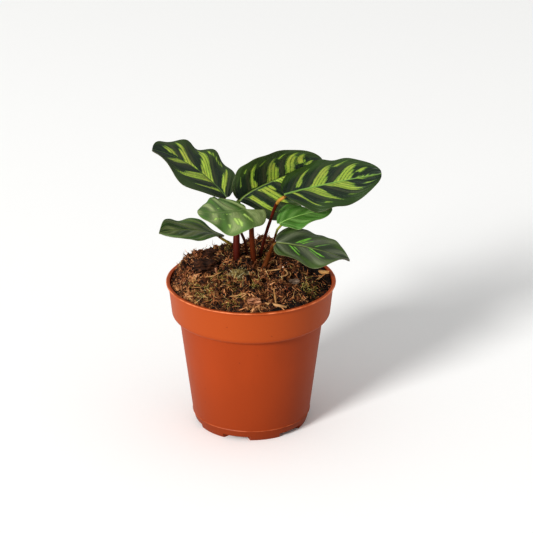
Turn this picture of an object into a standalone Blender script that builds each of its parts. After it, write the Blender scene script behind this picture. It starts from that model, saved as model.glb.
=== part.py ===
"""A potted calathea: seven leaves on slim stalks in heaped potting mix, in a round plastic grower's pot.

Metres, +Z up, plant's front towards -Y. The origin is the centre of the pot's flat base.
Sizes below are in millimetres and degrees, and MM turns them into metres where a mesh is made.
"""
import math
import random
from dataclasses import dataclass

import bmesh
import bpy
from mathutils import Matrix, Vector, noise

MM = 0.001
CLEAR = 0.3                 # gap between pieces that touch
MERGE = 0.00005             # metres, for welding points that coincide

# Pot: heights are above the surface it stands on, radii are outer unless named inner
POT_STEPS = 60
RIM_HEIGHT = 96.5
LIP_RADIUS = 54.0
LIP_THICK = 1.1
LIP_ROUND = 0.4
WALL = 1.1
BAND_TOP_RADIUS = 52.6
BAND_FOOT_RADIUS = 50.5
BAND_FOOT = 75.4
SHOULDER_FOOT = 72.9
SHOULDER_RADIUS = 46.1
RIDGE_HEIGHT = 7.3
RIDGE_RADIUS = 38.0
RIDGE_STEP = (0.7, 0.4)     # how far the wall steps in under the ridge, and over what height
RIDGE_BLEND = (0.1, 0.6)    # the same above it
FOOT_RADIUS = 35.7
FOOT_FLARE = (1.0, 3.0)     # how far the foot widens, and up to what height
FLOOR = 1.2
LIP_REST = 0.2              # height of the corner between lip and band
BAND_ROUND = (0.6, 0.9)     # cut of the band's lower edge, inwards and down
SHOULDER_ROUND = (0.9, 1.0)  # fill of the corner under the band, outwards and up
INNER_RISE = 1.0            # how much higher the shoulder lies inside the pot than outside
INNER_BENDS = ((0.8, -0.4), (-0.4, 0.2))    # its bends, out from body and from band, and up from the band's foot
POT_SHARP = 35              # degrees, edges sharper than this are shaded as edges

# Six drainage pockets pressed up into the foot, each with a hole through its roof
POCKETS = 6
FIRST_POCKET = -105.0       # degrees from +X
POCKET_HEIGHT = 2.9
POCKET_INNER = 28.0
POCKET_HALF_INNER = 4.0
POCKET_HALF_OUTER = 8.8
POCKET_SKIN = 1.0
DRAIN_RADIUS = 2.6
DRAIN_AT = 31.6
DRAIN_SIDES = 12
PAD_INSET = 0.2             # how far a pocket's roof starts inside the wall and the floor
CUT_PAST = 1.0              # how far a cutter starts below the pot
POCKET_PAST = 5.0           # and how far it reaches past the foot

# Potting mix
SOIL_RADIUS = 50.8
SOIL_EDGE = -2.3            # height of its edge over the rim
HEAP_RISE = 10.6
BACK_RISE = 0.27            # how much the heap climbs for each millimetre towards the back
SOIL_RINGS = 13
LUMPS = ((15.0, 3.4), (6.5, 2.4))
LUMP_LAYER = 4.2            # picks the pattern of the lumps
LUMP_CALM = 0.6             # share by which the lumps flatten towards the edge
KNOLLS = (                  # x, y, width and rise of each
    (9.0, 28.0, 6.5, 5.0), (-34.0, 20.0, 9.0, 2.5), (-10.0, 32.0, 7.0, -2.0), (-42.0, 16.0, 7.0, 5.5),
    (-9.0, 2.0, 9.0, 4.2),
)
SIDE_BENDS = ((-0.3, 0.55), (0.8, -0.05))   # bends of its side at the shoulder, as INNER_BENDS
SHOULDER_SEAT = 1.1         # where its side passes the shoulder's foot
PAD_PAST = 2.0              # how far the hollows over the pockets reach past the foot
ROUGH_SHARP = 50

# Leaves
BLADE_THICK = 0.8
BLADE_ALONG = 20
BLADE_ACROSS = 8
BLADE_START = 0.003         # how much of the outline's round start is left out at the base
LOBE_CURVE = (1.5, 5)       # how a lobe grows outwards, and how it fades towards the tip
STALK_TIP_RADIUS = 0.8
STALK_UNDER_BLADE = 2.0
STALK_GAP = 0.4
STALK_BEND = (1.5, 0.6)     # last bend of a stalk, back from the blade's base and down
STALK_ROUND = 2             # bevel resolution
STALK_STEPS = 3             # mesh steps between the points of a stalk
HOLE_CLEAR = CLEAR + 0.05

# Coarse bits
CHIP_SHRINK = 0.72          # least share of its size that a corner of a bit keeps
CHIP_CHAMFER = 0.12         # share of its size
BED_CLEAR = CLEAR + 0.15

# Colours, linear
PLASTIC = (0.55, 0.09, 0.03)
MIX_BROWN = (0.06, 0.028, 0.015)
LEAF_GREEN = (0.06, 0.14, 0.04)
STALK_RED = (0.14, 0.02, 0.015)


@dataclass(frozen=True)
class Leaf:
    """One leaf: its blade follows a curve from base to tip, drawn up towards crest on the way."""
    name: str
    base: tuple
    crest: tuple
    tip: tuple
    width: float
    widest: float           # below 1 moves the widest place towards the base
    fullness: tuple         # at base and tip, smaller is rounder
    roll: tuple             # turn about the midrib at base and tip
    fold: tuple             # rise of the left and right half from the midrib
    cup: float              # further curl of each half out to its margin
    lobe: tuple             # how far the left and right half reach back past the base
    wave_left: tuple        # height, number and phase of the waves of that margin
    wave_right: tuple
    stalk: tuple            # x, y, z and radius, from deep in the mix to just short of the blade


LEAVES = (
    Leaf("upper_left", (-15.5, 11, 148), (-34.5, 25, 168), (-62.5, 25, 175.5), 40, 0.73, (0.75, 0.35),
         (-7, -4), (-5, 25), 0, (0, 0.5), (4.5, 0.9, 0.3), (-2.3, 3.4, 0.3),
         ((-3, 12.5, 100, 0.9), (-3.2, 12.5, 114, 0.9), (-6.5, 14.5, 123, 0.85), (-12.8, 14.5, 134, 0.85))),
    Leaf("upper_middle", (-7.5, 15.5, 144), (-1, 15.5, 154), (46, 22, 167.5), 51.5, 1.1, (0.65, 0.46),
         (-80, -76), (36, -10), 3, (-1.5, 0), (4.5, 1.73, 0.28), (3.5, 2.2, -0.52),
         ((-8.8, 4, 95, 1.9), (-9, 4.2, 107, 2.3), (-9.2, 6.5, 122, 2.1), (-8.6, 12, 135, 1.5))),
    Leaf("upper_right", (21, -11.5, 158.7), (40, -2, 161.2), (81.5, -3.5, 169.7), 44.5, 0.88, (0.55, 0.5),
         (-10, -32), (6, 2), -11, (0, 0), (1, 3.4, -0.46), (-1.7, 2.2, -0.42),
         ((5.8, 8, 96, 1.0), (5.8, 8, 108, 1.05), (8.3, 5.5, 121, 1.0), (12.9, -0.5, 139, 1.0),
          (16.6, -6, 151, 1.1))),
    Leaf("middle_left", (-2.5, -6, 147), (-14.5, -18, 148.5), (-33, -20, 150.5), 39.5, 0.75, (0.55, 0.65),
         (14, 14), (-5, -1), -8, (12.5, 2), (2.5, 1.8, -0.26), (-1, 1.8, 0.7),
         ((1.9, 3, 94, 1.8), (1.8, 2.8, 107, 1.9), (0.4, 0.6, 131, 1.6), (0.9, -0.2, 140, 1.1))),
    Leaf("lower_left", (-18, 3.5, 125), (-39.5, 4.5, 131.5), (-57.5, -9, 132), 32, 0.89, (0.5, 0.9),
         (-18, 24), (2, 6), -2, (1, 1.5), (1.5, 1.3, 0.3), (2.5, 1.9, 0.64),
         ((-8.8, 11.8, 98, 0.9), (-9, 11.5, 110, 0.95), (-12.7, 8.3, 117, 0.9))),
    Leaf("small_right", (18, -7, 137.4), (28, -3.5, 142.6), (51, -5.5, 146.8), 26.5, 0.87, (0.55, 0.5),
         (0, -13), (5, -1), -9, (1, 0), (4.5, 1, 0.02), (1.4, 1.7, 0.06),
         ((12.2, 9.4, 97, 0.8), (12.2, 9, 109.5, 0.8), (14.6, 2.5, 122, 0.7), (16.4, -2, 130.5, 0.75))),
    Leaf("lower_right", (16, -6.5, 124.5), (41, -14, 125), (62, -16.5, 116.5), 34.5, 0.82, (0.5, 0.75),
         (-27, 7), (7, 1), -2, (1.5, 1), (2.9, 1.2, -0.74), (4.5, 1.3, -0.04),
         ((8.3, 0.2, 92, 1.7), (8.3, 0, 104, 1.9), (9.9, -0.3, 109, 1.5), (12.2, -2.2, 116.5, 1.2))),
)


@dataclass(frozen=True)
class Chip:
    """One coarse bit bedded in the top of the mix: x and y of its centre, and how much of it is sunk."""
    name: str
    place: tuple
    size: tuple
    heading: float
    slope: float
    sunk: float
    colour: tuple


CHIPS = (
    Chip("bark_block", (-29, 4), (14, 9, 10), 15, -8, 0.35, (0.045, 0.024, 0.014)),
    Chip("bark_chunk", (2.2, -41), (8.5, 4.5, 4.5), 8, 10, 0.4, (0.36, 0.17, 0.11)),
    Chip("wood_sliver", (45.2, 5.5), (16, 3.4, 2.2), -60, 18, 0.1, (0.45, 0.27, 0.13)),
    Chip("grey_stick", (27.3, -12.3), (8.5, 3, 2.6), 25, -4, 0.4, (0.27, 0.22, 0.18)),
    Chip("pale_twig", (-3.2, 8.5), (7.5, 1.8, 1.8), -52, 10, 0.3, (0.52, 0.4, 0.24)),
    Chip("moss_tuft", (-7.3, -9.5), (9.5, 7, 4.5), 10, -6, 0.4, (0.33, 0.36, 0.2)),
)


def clear_scene():
    for scene_object in list(bpy.data.objects):
        bpy.data.objects.remove(scene_object, do_unlink=True)


def make_collection(name):
    collection = bpy.data.collections.new(name)
    bpy.context.scene.collection.children.link(collection)
    return collection


def make_material(name, colour, roughness):
    material = bpy.data.materials.new(name)
    material.use_nodes = True
    shader = material.node_tree.nodes["Principled BSDF"]
    shader.inputs["Base Color"].default_value = (*colour, 1.0)
    shader.inputs["Roughness"].default_value = roughness
    return material


def add_object(name, data, collection, material=None):
    new_object = bpy.data.objects.new(name, data)
    collection.objects.link(new_object)
    if material:
        data.materials.append(material)
    return new_object


def mesh_from_bmesh(name, form):
    mesh = bpy.data.meshes.new(name)
    form.to_mesh(mesh)
    form.free()
    return mesh


def made_mesh(source, collection):
    """Turn an evaluated object into a plain welded mesh object, and remove the one it came from."""
    bpy.context.view_layer.update()
    evaluated = source.evaluated_get(bpy.context.evaluated_depsgraph_get())
    form = bmesh.new()
    form.from_mesh(bpy.data.meshes.new_from_object(evaluated))
    bmesh.ops.remove_doubles(form, verts=form.verts, dist=MERGE)
    name = source.name
    world = source.matrix_world.copy()
    bpy.data.objects.remove(source, do_unlink=True)
    plain = add_object(name, mesh_from_bmesh(name, form), collection)
    plain.matrix_world = world
    return plain


def as_cutter(cutter):
    cutter.hide_render = True
    cutter.display_type = "WIRE"
    return cutter


def add_boolean(target, cutter, operation):
    boolean = target.modifiers.new(f"{operation.lower()} {cutter.name}", "BOOLEAN")
    boolean.object = cutter
    boolean.operation = operation


def turned(name, profile, collection, material=None):
    """Turn a profile of radius and height, given down its outer side, about the vertical axis."""
    form = bmesh.new()
    points = [form.verts.new((radius * MM, 0, height * MM)) for radius, height in profile]
    for upper, lower in zip(points, points[1:]):
        form.edges.new((upper, lower))
    body = add_object(name, mesh_from_bmesh(name, form), collection, material)
    screw = body.modifiers.new("turn", "SCREW")
    screw.steps = POT_STEPS
    screw.render_steps = POT_STEPS
    screw.use_merge_vertices = True
    screw.merge_threshold = MERGE
    return body


def pot_profile():
    lip_foot = RIM_HEIGHT - LIP_THICK
    inner_top = BAND_TOP_RADIUS - WALL
    inner_band = BAND_FOOT_RADIUS - WALL
    inner_body = SHOULDER_RADIUS - WALL
    (low_out, low_up), (high_out, high_up) = INNER_BENDS
    inside = [
        (0, FLOOR), (FOOT_RADIUS - WALL, FLOOR), (RIDGE_RADIUS - WALL - RIDGE_STEP[0], RIDGE_HEIGHT),
        (inner_body, SHOULDER_FOOT + INNER_RISE), (inner_body + low_out, BAND_FOOT + low_up),
        (inner_band + high_out, BAND_FOOT + high_up), (inner_band, BAND_FOOT + INNER_RISE),
        (inner_top, RIM_HEIGHT),
    ]
    lip = [
        (LIP_RADIUS - LIP_ROUND, RIM_HEIGHT), (LIP_RADIUS, RIM_HEIGHT - LIP_ROUND),
        (LIP_RADIUS, lip_foot + LIP_ROUND), (LIP_RADIUS - LIP_ROUND, lip_foot),
    ]
    outside = [
        (BAND_TOP_RADIUS, lip_foot - LIP_REST), (BAND_FOOT_RADIUS, BAND_FOOT),
        (BAND_FOOT_RADIUS - BAND_ROUND[0], BAND_FOOT - BAND_ROUND[1]),
        (SHOULDER_RADIUS + SHOULDER_ROUND[0], SHOULDER_FOOT + SHOULDER_ROUND[1]),
        (SHOULDER_RADIUS, SHOULDER_FOOT), (RIDGE_RADIUS - RIDGE_BLEND[0], RIDGE_HEIGHT + RIDGE_BLEND[1]),
        (RIDGE_RADIUS, RIDGE_HEIGHT), (RIDGE_RADIUS - RIDGE_STEP[0], RIDGE_HEIGHT - RIDGE_STEP[1]),
        (FOOT_RADIUS + FOOT_FLARE[0], FOOT_FLARE[1]), (FOOT_RADIUS, 0), (0, 0),
    ]
    return inside + lip + outside


def pocket_blocks(name, grow, reach, low, high, collection):
    """Fan-shaped blocks, one at each pocket; grow widens them, and reach is the radius of their outer end."""
    slant = (POCKET_HALF_OUTER - POCKET_HALF_INNER) / (FOOT_RADIUS - POCKET_INNER)
    inner = POCKET_INNER - grow
    half_inner = POCKET_HALF_INNER + grow - slant * grow
    half_outer = half_inner + slant * (reach - inner)
    spread = math.asin(half_outer / reach)
    outline = [(inner, -half_inner)]
    turns = [share * spread for share in (-1, -0.5, 0, 0.5, 1)]
    outline += [(reach * math.cos(turn), reach * math.sin(turn)) for turn in turns]
    outline.append((inner, half_inner))
    form = bmesh.new()
    for index in range(POCKETS):
        spin = Matrix.Rotation(math.radians(FIRST_POCKET + index * 360 / POCKETS), 4, "Z")
        floor = [form.verts.new(spin @ Vector((x * MM, y * MM, low * MM))) for x, y in outline]
        face = form.faces.new(floor)
        raised = bmesh.ops.extrude_face_region(form, geom=[face])["geom"]
        lifted = [item for item in raised if isinstance(item, bmesh.types.BMVert)]
        bmesh.ops.translate(form, verts=lifted, vec=(0, 0, (high - low) * MM))
    bmesh.ops.recalc_face_normals(form, faces=form.faces)
    return as_cutter(add_object(name, mesh_from_bmesh(name, form), collection))


def drain_hole_cutters(collection):
    form = bmesh.new()
    for index in range(POCKETS):
        spin = Matrix.Rotation(math.radians(FIRST_POCKET + index * 360 / POCKETS), 4, "Z")
        place = spin @ Matrix.Translation((DRAIN_AT * MM, 0, (POCKET_HEIGHT + POCKET_SKIN / 2) * MM))
        bmesh.ops.create_cone(form, cap_ends=True, segments=DRAIN_SIDES, radius1=DRAIN_RADIUS * MM,
                              radius2=DRAIN_RADIUS * MM, depth=3 * POCKET_SKIN * MM, matrix=place)
    return as_cutter(add_object("drain_holes", mesh_from_bmesh("drain_holes", form), collection))


def make_pot(parts, cutters):
    plastic = make_material("terracotta_plastic", PLASTIC, 0.42)
    pot = turned("pot", pot_profile(), parts, plastic)
    roof = POCKET_HEIGHT + POCKET_SKIN
    pads = pocket_blocks("pocket_pads", POCKET_SKIN, FOOT_RADIUS - PAD_INSET, FLOOR - PAD_INSET, roof, cutters)
    pockets = pocket_blocks("pockets", 0, FOOT_RADIUS + POCKET_PAST, -CUT_PAST, POCKET_HEIGHT, cutters)
    add_boolean(pot, pads, "UNION")
    add_boolean(pot, pockets, "DIFFERENCE")
    add_boolean(pot, drain_hole_cutters(cutters), "DIFFERENCE")
    shade_smooth(pot, POT_SHARP)
    return pot


def shade_smooth(body, sharp_angle):
    body.data.shade_smooth()
    body.data.set_sharp_from_angle(angle=math.radians(sharp_angle))


def soil_height(x, y):
    """Height of the heaped mix at a place, above the surface that the pot stands on."""
    reach = min(1.0, math.hypot(x, y) / SOIL_RADIUS)
    heap = SOIL_EDGE + HEAP_RISE * (1 - reach ** 2) + BACK_RISE * max(y, 0.0) * (1 - reach ** 4)
    for knoll_x, knoll_y, knoll_width, knoll_rise in KNOLLS:
        away = math.hypot(x - knoll_x, y - knoll_y) / knoll_width
        heap += knoll_rise * math.exp(-away ** 2)
    lumps = sum(rise * noise.noise(Vector((x / scale, y / scale, LUMP_LAYER))) for scale, rise in LUMPS)
    return RIM_HEIGHT + heap + lumps * (1 - LUMP_CALM * reach ** 6)


def soil_profile():
    rings = [(SOIL_RADIUS * ring / SOIL_RINGS, RIM_HEIGHT) for ring in range(SOIL_RINGS + 1)]
    inner_band = BAND_FOOT_RADIUS - WALL - CLEAR
    inner_body = SHOULDER_RADIUS - WALL - CLEAR
    (high_out, high_up), (low_out, low_up) = SIDE_BENDS
    side = [
        (inner_band, BAND_FOOT + INNER_RISE + CLEAR), (inner_band + high_out, BAND_FOOT + high_up),
        (inner_body + low_out, BAND_FOOT + low_up), (inner_body, SHOULDER_FOOT + SHOULDER_SEAT),
        (RIDGE_RADIUS - WALL - RIDGE_STEP[0] - CLEAR, RIDGE_HEIGHT),
        (FOOT_RADIUS - WALL - CLEAR, FLOOR + CLEAR), (0, FLOOR + CLEAR),
    ]
    return rings + side


def make_soil(parts, cutters, beds):
    """The potting mix: turned to fill the pot, heaped and lumpy on top, with plain holes and beds cut in."""
    mix = make_material("potting_mix", MIX_BROWN, 0.95)
    soil = made_mesh(turned("potting_mix", soil_profile(), parts), parts)
    soil.data.materials.append(mix)
    for vertex in soil.data.vertices:
        if math.isclose(vertex.co.z, RIM_HEIGHT * MM, abs_tol=MERGE):
            vertex.co.z = soil_height(vertex.co.x / MM, vertex.co.y / MM) * MM
    roof = POCKET_HEIGHT + POCKET_SKIN + CLEAR
    pads = pocket_blocks("soil_over_pads", POCKET_SKIN + CLEAR, FOOT_RADIUS + PAD_PAST, 0, roof, cutters)
    add_boolean(soil, pads, "DIFFERENCE")
    for bed in beds:
        add_boolean(soil, bed, "DIFFERENCE")
    shade_smooth(soil, ROUGH_SHARP)
    return soil


def mix_along(pair, along):
    return pair[0] + (pair[1] - pair[0]) * along


def blade_frame(leaf, along):
    """Place on the midrib, direction towards the tip, direction to the right half, and upper side."""
    base, crest, tip = (Vector(point) for point in (leaf.base, leaf.crest, leaf.tip))
    place = (1 - along) ** 2 * base + 2 * along * (1 - along) * crest + along ** 2 * tip
    forward = ((1 - along) * (crest - base) + along * (tip - crest)).normalized()
    right = forward.cross(Vector((0, 0, 1))).normalized()
    roll = Matrix.Rotation(-math.radians(mix_along(leaf.roll, along)), 3, forward)
    return place, forward, roll @ right, roll @ right.cross(forward)


def blade_half_width(leaf, along):
    station = BLADE_START + (1 - BLADE_START) * along
    swell = math.sin(math.pi * min(1.0, station) ** leaf.widest)
    return leaf.width / 2 * max(swell, 1e-9) ** mix_along(leaf.fullness, along)


def blade_point(leaf, along, across):
    """A point of the blade's middle sheet; across runs from -1 at the left margin to 1 at the right."""
    place, forward, right, upper = blade_frame(leaf, along)
    side = 0 if across < 0 else 1
    outward = abs(across)
    half = blade_half_width(leaf, along) * outward
    rise = math.radians(leaf.fold[side] + leaf.cup * outward / 2)
    height, waves, phase = leaf.wave_right if side else leaf.wave_left
    swing = math.sin(2 * math.pi * (waves * along + phase)) * math.sqrt(max(0.0, math.sin(math.pi * along)))
    lift = half * math.sin(rise) + height * swing * outward ** 2
    back = leaf.lobe[side] * outward ** LOBE_CURVE[0] * (1 - along) ** LOBE_CURVE[1]
    return place + right * math.copysign(half * math.cos(rise), across) + upper * lift - forward * back


def make_blade(leaf, parts, green):
    """A waved sheet, split into triangles before it is thickened, so that both faces match."""
    form = bmesh.new()
    bmesh.ops.create_grid(form, x_segments=BLADE_ALONG, y_segments=BLADE_ACROSS, size=1)
    for vertex in form.verts:
        along = 0.5 - 0.5 * math.cos(math.pi * (vertex.co.x + 1) / 2)
        vertex.co = blade_point(leaf, along, vertex.co.y) * MM
    bmesh.ops.remove_doubles(form, verts=form.verts, dist=MERGE)
    bmesh.ops.triangulate(form, faces=form.faces)
    name = f"blade_{leaf.name}"
    blade = add_object(name, mesh_from_bmesh(name, form), parts, green)
    thick = blade.modifiers.new("thickness", "SOLIDIFY")
    thick.thickness = BLADE_THICK * MM
    thick.offset = 0
    shade_smooth(blade, ROUGH_SHARP)
    return blade


def stalk_path(leaf):
    """The stalk's own points, then a last bend that lays its tip along the underside of the blade."""
    place, forward, _, upper = blade_frame(leaf, 0.0)
    under = BLADE_THICK / 2 + STALK_GAP + STALK_TIP_RADIUS
    bend = place - forward * STALK_BEND[0] - upper * (under + STALK_BEND[1])
    tip = place + forward * STALK_UNDER_BLADE - upper * under
    return leaf.stalk + ((*bend, leaf.stalk[-1][3]), (*tip, STALK_TIP_RADIUS))


def tube(name, path, grow, collection, material=None):
    """A round tube through points of x, y, z and radius, each radius made larger by grow."""
    curve = bpy.data.curves.new(name, "CURVE")
    curve.dimensions = "3D"
    curve.bevel_depth = MM
    curve.bevel_resolution = STALK_ROUND
    curve.resolution_u = STALK_STEPS
    curve.use_fill_caps = True
    spline = curve.splines.new("BEZIER")
    spline.bezier_points.add(len(path) - 1)
    for point, (x, y, z, radius) in zip(spline.bezier_points, path):
        point.co = (x * MM, y * MM, z * MM)
        point.radius = radius + grow
        point.handle_left_type = "AUTO"
        point.handle_right_type = "AUTO"
    return add_object(name, curve, collection, material)


def stalk_hole(leaf, cutters):
    """A plain hole in the mix, a little wider and deeper than the stalk that stands in it."""
    x, y, z, radius = leaf.stalk[0]
    path = ((x, y, z - CLEAR, radius),) + leaf.stalk[1:]
    return as_cutter(made_mesh(tube(f"hole_{leaf.name}", path, HOLE_CLEAR, cutters), cutters))


def chip_mesh(chip, grow):
    """A rough block with chamfered edges and corners moved about by a seeded draw."""
    draw = random.Random(chip.name)
    form = bmesh.new()
    bmesh.ops.create_cube(form, size=1)
    for vertex in form.verts:
        vertex.co = Vector([value * draw.uniform(CHIP_SHRINK, 1.0) for value in vertex.co])
    bmesh.ops.bevel(form, geom=form.edges[:], offset=CHIP_CHAMFER, segments=1, affect="EDGES")
    bmesh.ops.triangulate(form, faces=form.faces)
    size = Vector(chip.size)
    for vertex in form.verts:
        vertex.co = Vector([value * (length + 2 * grow) * MM for value, length in zip(vertex.co, size)])
    return mesh_from_bmesh(chip.name, form)


def add_chip(chip, grow, collection, material=None):
    name = f"bed_{chip.name}" if grow else chip.name
    body = add_object(name, chip_mesh(chip, grow), collection, material)
    x, y = chip.place
    height = soil_height(x, y) + chip.size[2] * (0.5 - chip.sunk)
    body.location = (x * MM, y * MM, height * MM)
    body.rotation_euler = (0, math.radians(-chip.slope), math.radians(chip.heading))
    return body


def make_plant(parts, cutters):
    holes = []
    for leaf in LEAVES:
        green = make_material(f"leaf_green_{leaf.name}", LEAF_GREEN, 0.4)
        red = make_material(f"stalk_red_{leaf.name}", STALK_RED, 0.45)
        make_blade(leaf, parts, green)
        tube(f"stalk_{leaf.name}", stalk_path(leaf), 0, parts, red)
        holes.append(stalk_hole(leaf, cutters))
    return holes


def make_chips(parts, cutters):
    beds = []
    for chip in CHIPS:
        add_chip(chip, 0, parts, make_material(chip.name, chip.colour, 0.9))
        beds.append(as_cutter(add_chip(chip, BED_CLEAR, cutters)))
    return beds


def main():
    clear_scene()
    parts = make_collection("potted_calathea")
    cutters = make_collection("cutters")
    make_pot(parts, cutters)
    holes = make_plant(parts, cutters)
    beds = make_chips(parts, cutters)
    make_soil(parts, cutters, holes + beds)


main()
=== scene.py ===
"""Looks for a potted calathea: striped leaves, red stalks, fibrous potting mix and a moulded plastic pot.

Laid out as a Blender add-on and run as a script. Metres, +Z up, the plant's front towards -Y.
Sizes in the code are millimetres and degrees, and MM turns them into metres where a mesh is made.
"""
import math
import random
from dataclasses import dataclass
from functools import partial

import bmesh
import bpy
import numpy as np
from bpy.props import FloatProperty, FloatVectorProperty, PointerProperty
from mathutils import Matrix, Vector, noise


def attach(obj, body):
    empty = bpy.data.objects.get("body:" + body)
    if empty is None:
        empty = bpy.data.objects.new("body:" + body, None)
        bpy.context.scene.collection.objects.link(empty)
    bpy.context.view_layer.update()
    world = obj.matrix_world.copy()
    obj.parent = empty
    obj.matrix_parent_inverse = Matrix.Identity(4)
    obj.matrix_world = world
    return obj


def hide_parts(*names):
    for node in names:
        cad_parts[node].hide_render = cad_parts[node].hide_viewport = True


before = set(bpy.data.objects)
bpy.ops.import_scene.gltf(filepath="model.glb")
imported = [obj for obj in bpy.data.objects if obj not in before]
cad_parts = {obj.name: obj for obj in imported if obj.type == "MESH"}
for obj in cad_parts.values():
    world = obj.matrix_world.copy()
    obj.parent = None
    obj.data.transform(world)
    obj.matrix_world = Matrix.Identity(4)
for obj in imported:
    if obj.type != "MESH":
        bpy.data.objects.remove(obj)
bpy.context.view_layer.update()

bl_info = {
    "name": "Potted calathea",
    "version": (1, 0, 0),
    "blender": (4, 5, 0),
    "location": "3D View > Sidebar > Calathea",
    "description": "Makes the leaves, stalks, mix and pot of a young calathea around its packed solids",
    "category": "Object",
}

MM = 0.001
BODY = "root"
WELD = 0.00001              # metres, for welding points that coincide
NODE_FAMILIES = ("ShaderNode", "GeometryNode", "FunctionNode", "Node")

# Pot: heights are above the surface it stands on, radii are outer unless named inner
POT_STEPS = 192
ARC_STEPS = 4               # straight pieces in a rounded corner, and in half a pocket's outer edge
RIM_HEIGHT = 96.5
LIP_RADIUS = 54.0
LIP_THICK = 1.1
WALL = 1.1
BAND_TOP_RADIUS = 52.6
BAND_FOOT_RADIUS = 50.5
BAND_FOOT = 75.4
SHOULDER_FOOT = 72.9
SHOULDER_RADIUS = 46.1
RIDGE_HEIGHT = 7.3
RIDGE_RADIUS = 38.0
FOOT_RADIUS = 35.7
FLOOR = 1.2
POCKETS = 6
FIRST_POCKET = -105.0
POCKET_HEIGHT = 2.9
POCKET_INNER = 28.0
POCKET_HALF_INNER = 4.0
POCKET_HALF_OUTER = 8.8
POCKET_SKIN = 1.0
DRAIN_RADIUS = 2.6
DRAIN_AT = 31.6
DRAIN_SIDES = 24
WORN_BELOW_RIM = 2.0        # the lip is uneven this far down
LONG_WAVE = (90, 0.16)      # waves to a metre along the lip and their height, before the finer nicks
NICKS = 700                 # nicks to a metre
LIP_DROP = 0.1
CREASE = 32                 # degrees at which the pot's edges stay sharp
BAND_SHEEN_TONE = (1.19, 1.4, 1.58)   # painted sheen: the band's colour against the body's, in red, green and blue
LOW_SHADE_START = 48.0                # painted shade: from here down to the ridge the body grows a little darker
LOW_SHADE_TONE = (0.86, 0.86, 0.95)
FOOT_SHADE_TONE = (0.74, 0.76, 0.95)  # and painted shade makes the foot below the ridge darker again

# Potting mix
SOIL_RADIUS = 50.8
SOIL_EDGE = -2.3
HEAP_RISE = 10.6
HEAP_COLOURS = ("#0a0402", "#200f07", "#472712", "#80502c", "#b08257")     # from dark to light
BACK_RISE = 0.27
LUMPS = ((15.0, 3.4), (6.5, 2.4))
LUMP_LAYER = 4.2
LUMP_FADE = 0.6             # share by which the lumps fade at the wall
KNOLLS = (                  # x, y, width and rise of each
    (9.0, 28.0, 6.5, 5.0), (-34.0, 20.0, 9.0, 2.5), (-10.0, 32.0, 7.0, -2.0), (-42.0, 16.0, 7.0, 5.5),
    (-9.0, 2.0, 9.0, 4.2),
)
RELIEF = ((5.2, 3.5), (2.6, 2.2), (1.2, 1.0))   # grain and height of the crumbly surface
RELIEF_STEEPNESS = 1.6
RELIEF_SINK = 0.4           # share of each height that lies under the heap
RELIEF_FADE = 0.5           # share by which the relief fades at the wall
CHIP_CALM = 0.85            # and beside a coarse bit
CHIP_BED = 0.5              # how much lower the mix lies there
LAYER_TILT = 0.6            # how much the relief changes with height
CLOD_GRAIN = 2.4            # how fine the ragged outline of a clod is
CLOD_RAGGED = 0.5
CLODS = (                   # x, y, radius and height of each lump of peat on the heap
    (-42.0, 14.0, 3.5, 1.4), (-35.5, 19.0, 3.5, 1.0), (7.0, 24.0, 4.5, 1.8), (11.5, 22.0, 3.5, 1.6),
    (-42.0, -2.0, 4.5, 2.6), (-22.0, -22.0, 4.5, 2.2), (30.0, -4.0, 4.5, 2.6), (18.0, -34.0, 4.0, 2.4),
    (-20.0, 16.0, 3.0, 1.8), (-31.0, -12.0, 5.0, 2.2), (4.0, -17.0, 4.0, 1.8), (37.0, -14.0, 4.0, 2.0),
    (-8.0, 16.0, 3.5, 2.2),
)
CALM_BESIDE_CHIP = 2.5      # the surface grows calm over this much beside a coarse bit
SOIL_EDGE_RISE = 0.8        # crumbs heaped against the wall
LITTER_RADIUS = 50.9        # crumbs and strands end here, short of the pot's wall
SHEET_RADIUS = SOIL_RADIUS - 0.8    # the sheet that they grow on
SHEET_CUTS = 104
STRAND_LENGTHS = (0.5, 1.5)     # shortest and longest against the usual one
STRAND_TILT = 0.1
STRAND_TIP = 0.35           # thickness of a strand's end against its foot
THIN_FROM = 0.3             # share of a strand's length from which it thins
ANY_TURN = (6.28, 6.28, 6.28)
CRUMB_SHAPES = ((0.4, 0.55, 0.35), (1.5, 1.1, 0.9))     # flattest and fullest
CRUMB_SIZES = (1.6, 0.55)   # spread of their sizes and the smallest one, against the usual one
FEW_LARGE = 2.5             # the higher, the fewer large crumbs
CRUMB_KNOCK = 1.1           # how far a crumb is knocked out of shape, against its size
STRAND_POINTS = 9           # points along a strand before it is curled
CURLS = 260.0               # scale of the noise that curls it, to a metre
CURL_CHANGE = 40.0          # how far apart that noise is for two strands
CURL_MIDDLE = (0.5, 0.5, 0.48)
CURL_FLATNESS = 0.22        # strands rise and fall less than they wander
BUMPS = 900.0               # scale of the bumps on crumbs and the flutes on stalks, to a metre
SOIL_RINGS = 125
SOIL_STEPS = 300
MOSS_PATCHES = (            # x, y and radius of each
    (-8, -10, 9), (-19, -7, 8), (-30, -27, 10), (-10, -39, 7), (36, -19, 9), (-11, -23, 7), (2, -25, 6),
    (-16, 24, 8), (6, 10, 6), (-38, -16, 5),
)
RED_PATCHES = ((-40, -4, 13), (-36, 12, 9), (9, 29, 9), (22, -2, 8), (20, -28, 9))
TUFT_PATCH = ((-7.3, -9.5, 5.5),)
LEAF_SHADOW_FROM = 12.0            # painted shadow of the lower right leaf: the mix grows darker towards the right, between these two places
LEAF_SHADOW_TO = 42.0
LEAF_SHADOW_DEPTH = 0.16           # share of the way to its darkest colour
PATCH_SIZE = 7.0            # damp and dry patches all over it
PATCH_DEPTH = 0.9

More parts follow.
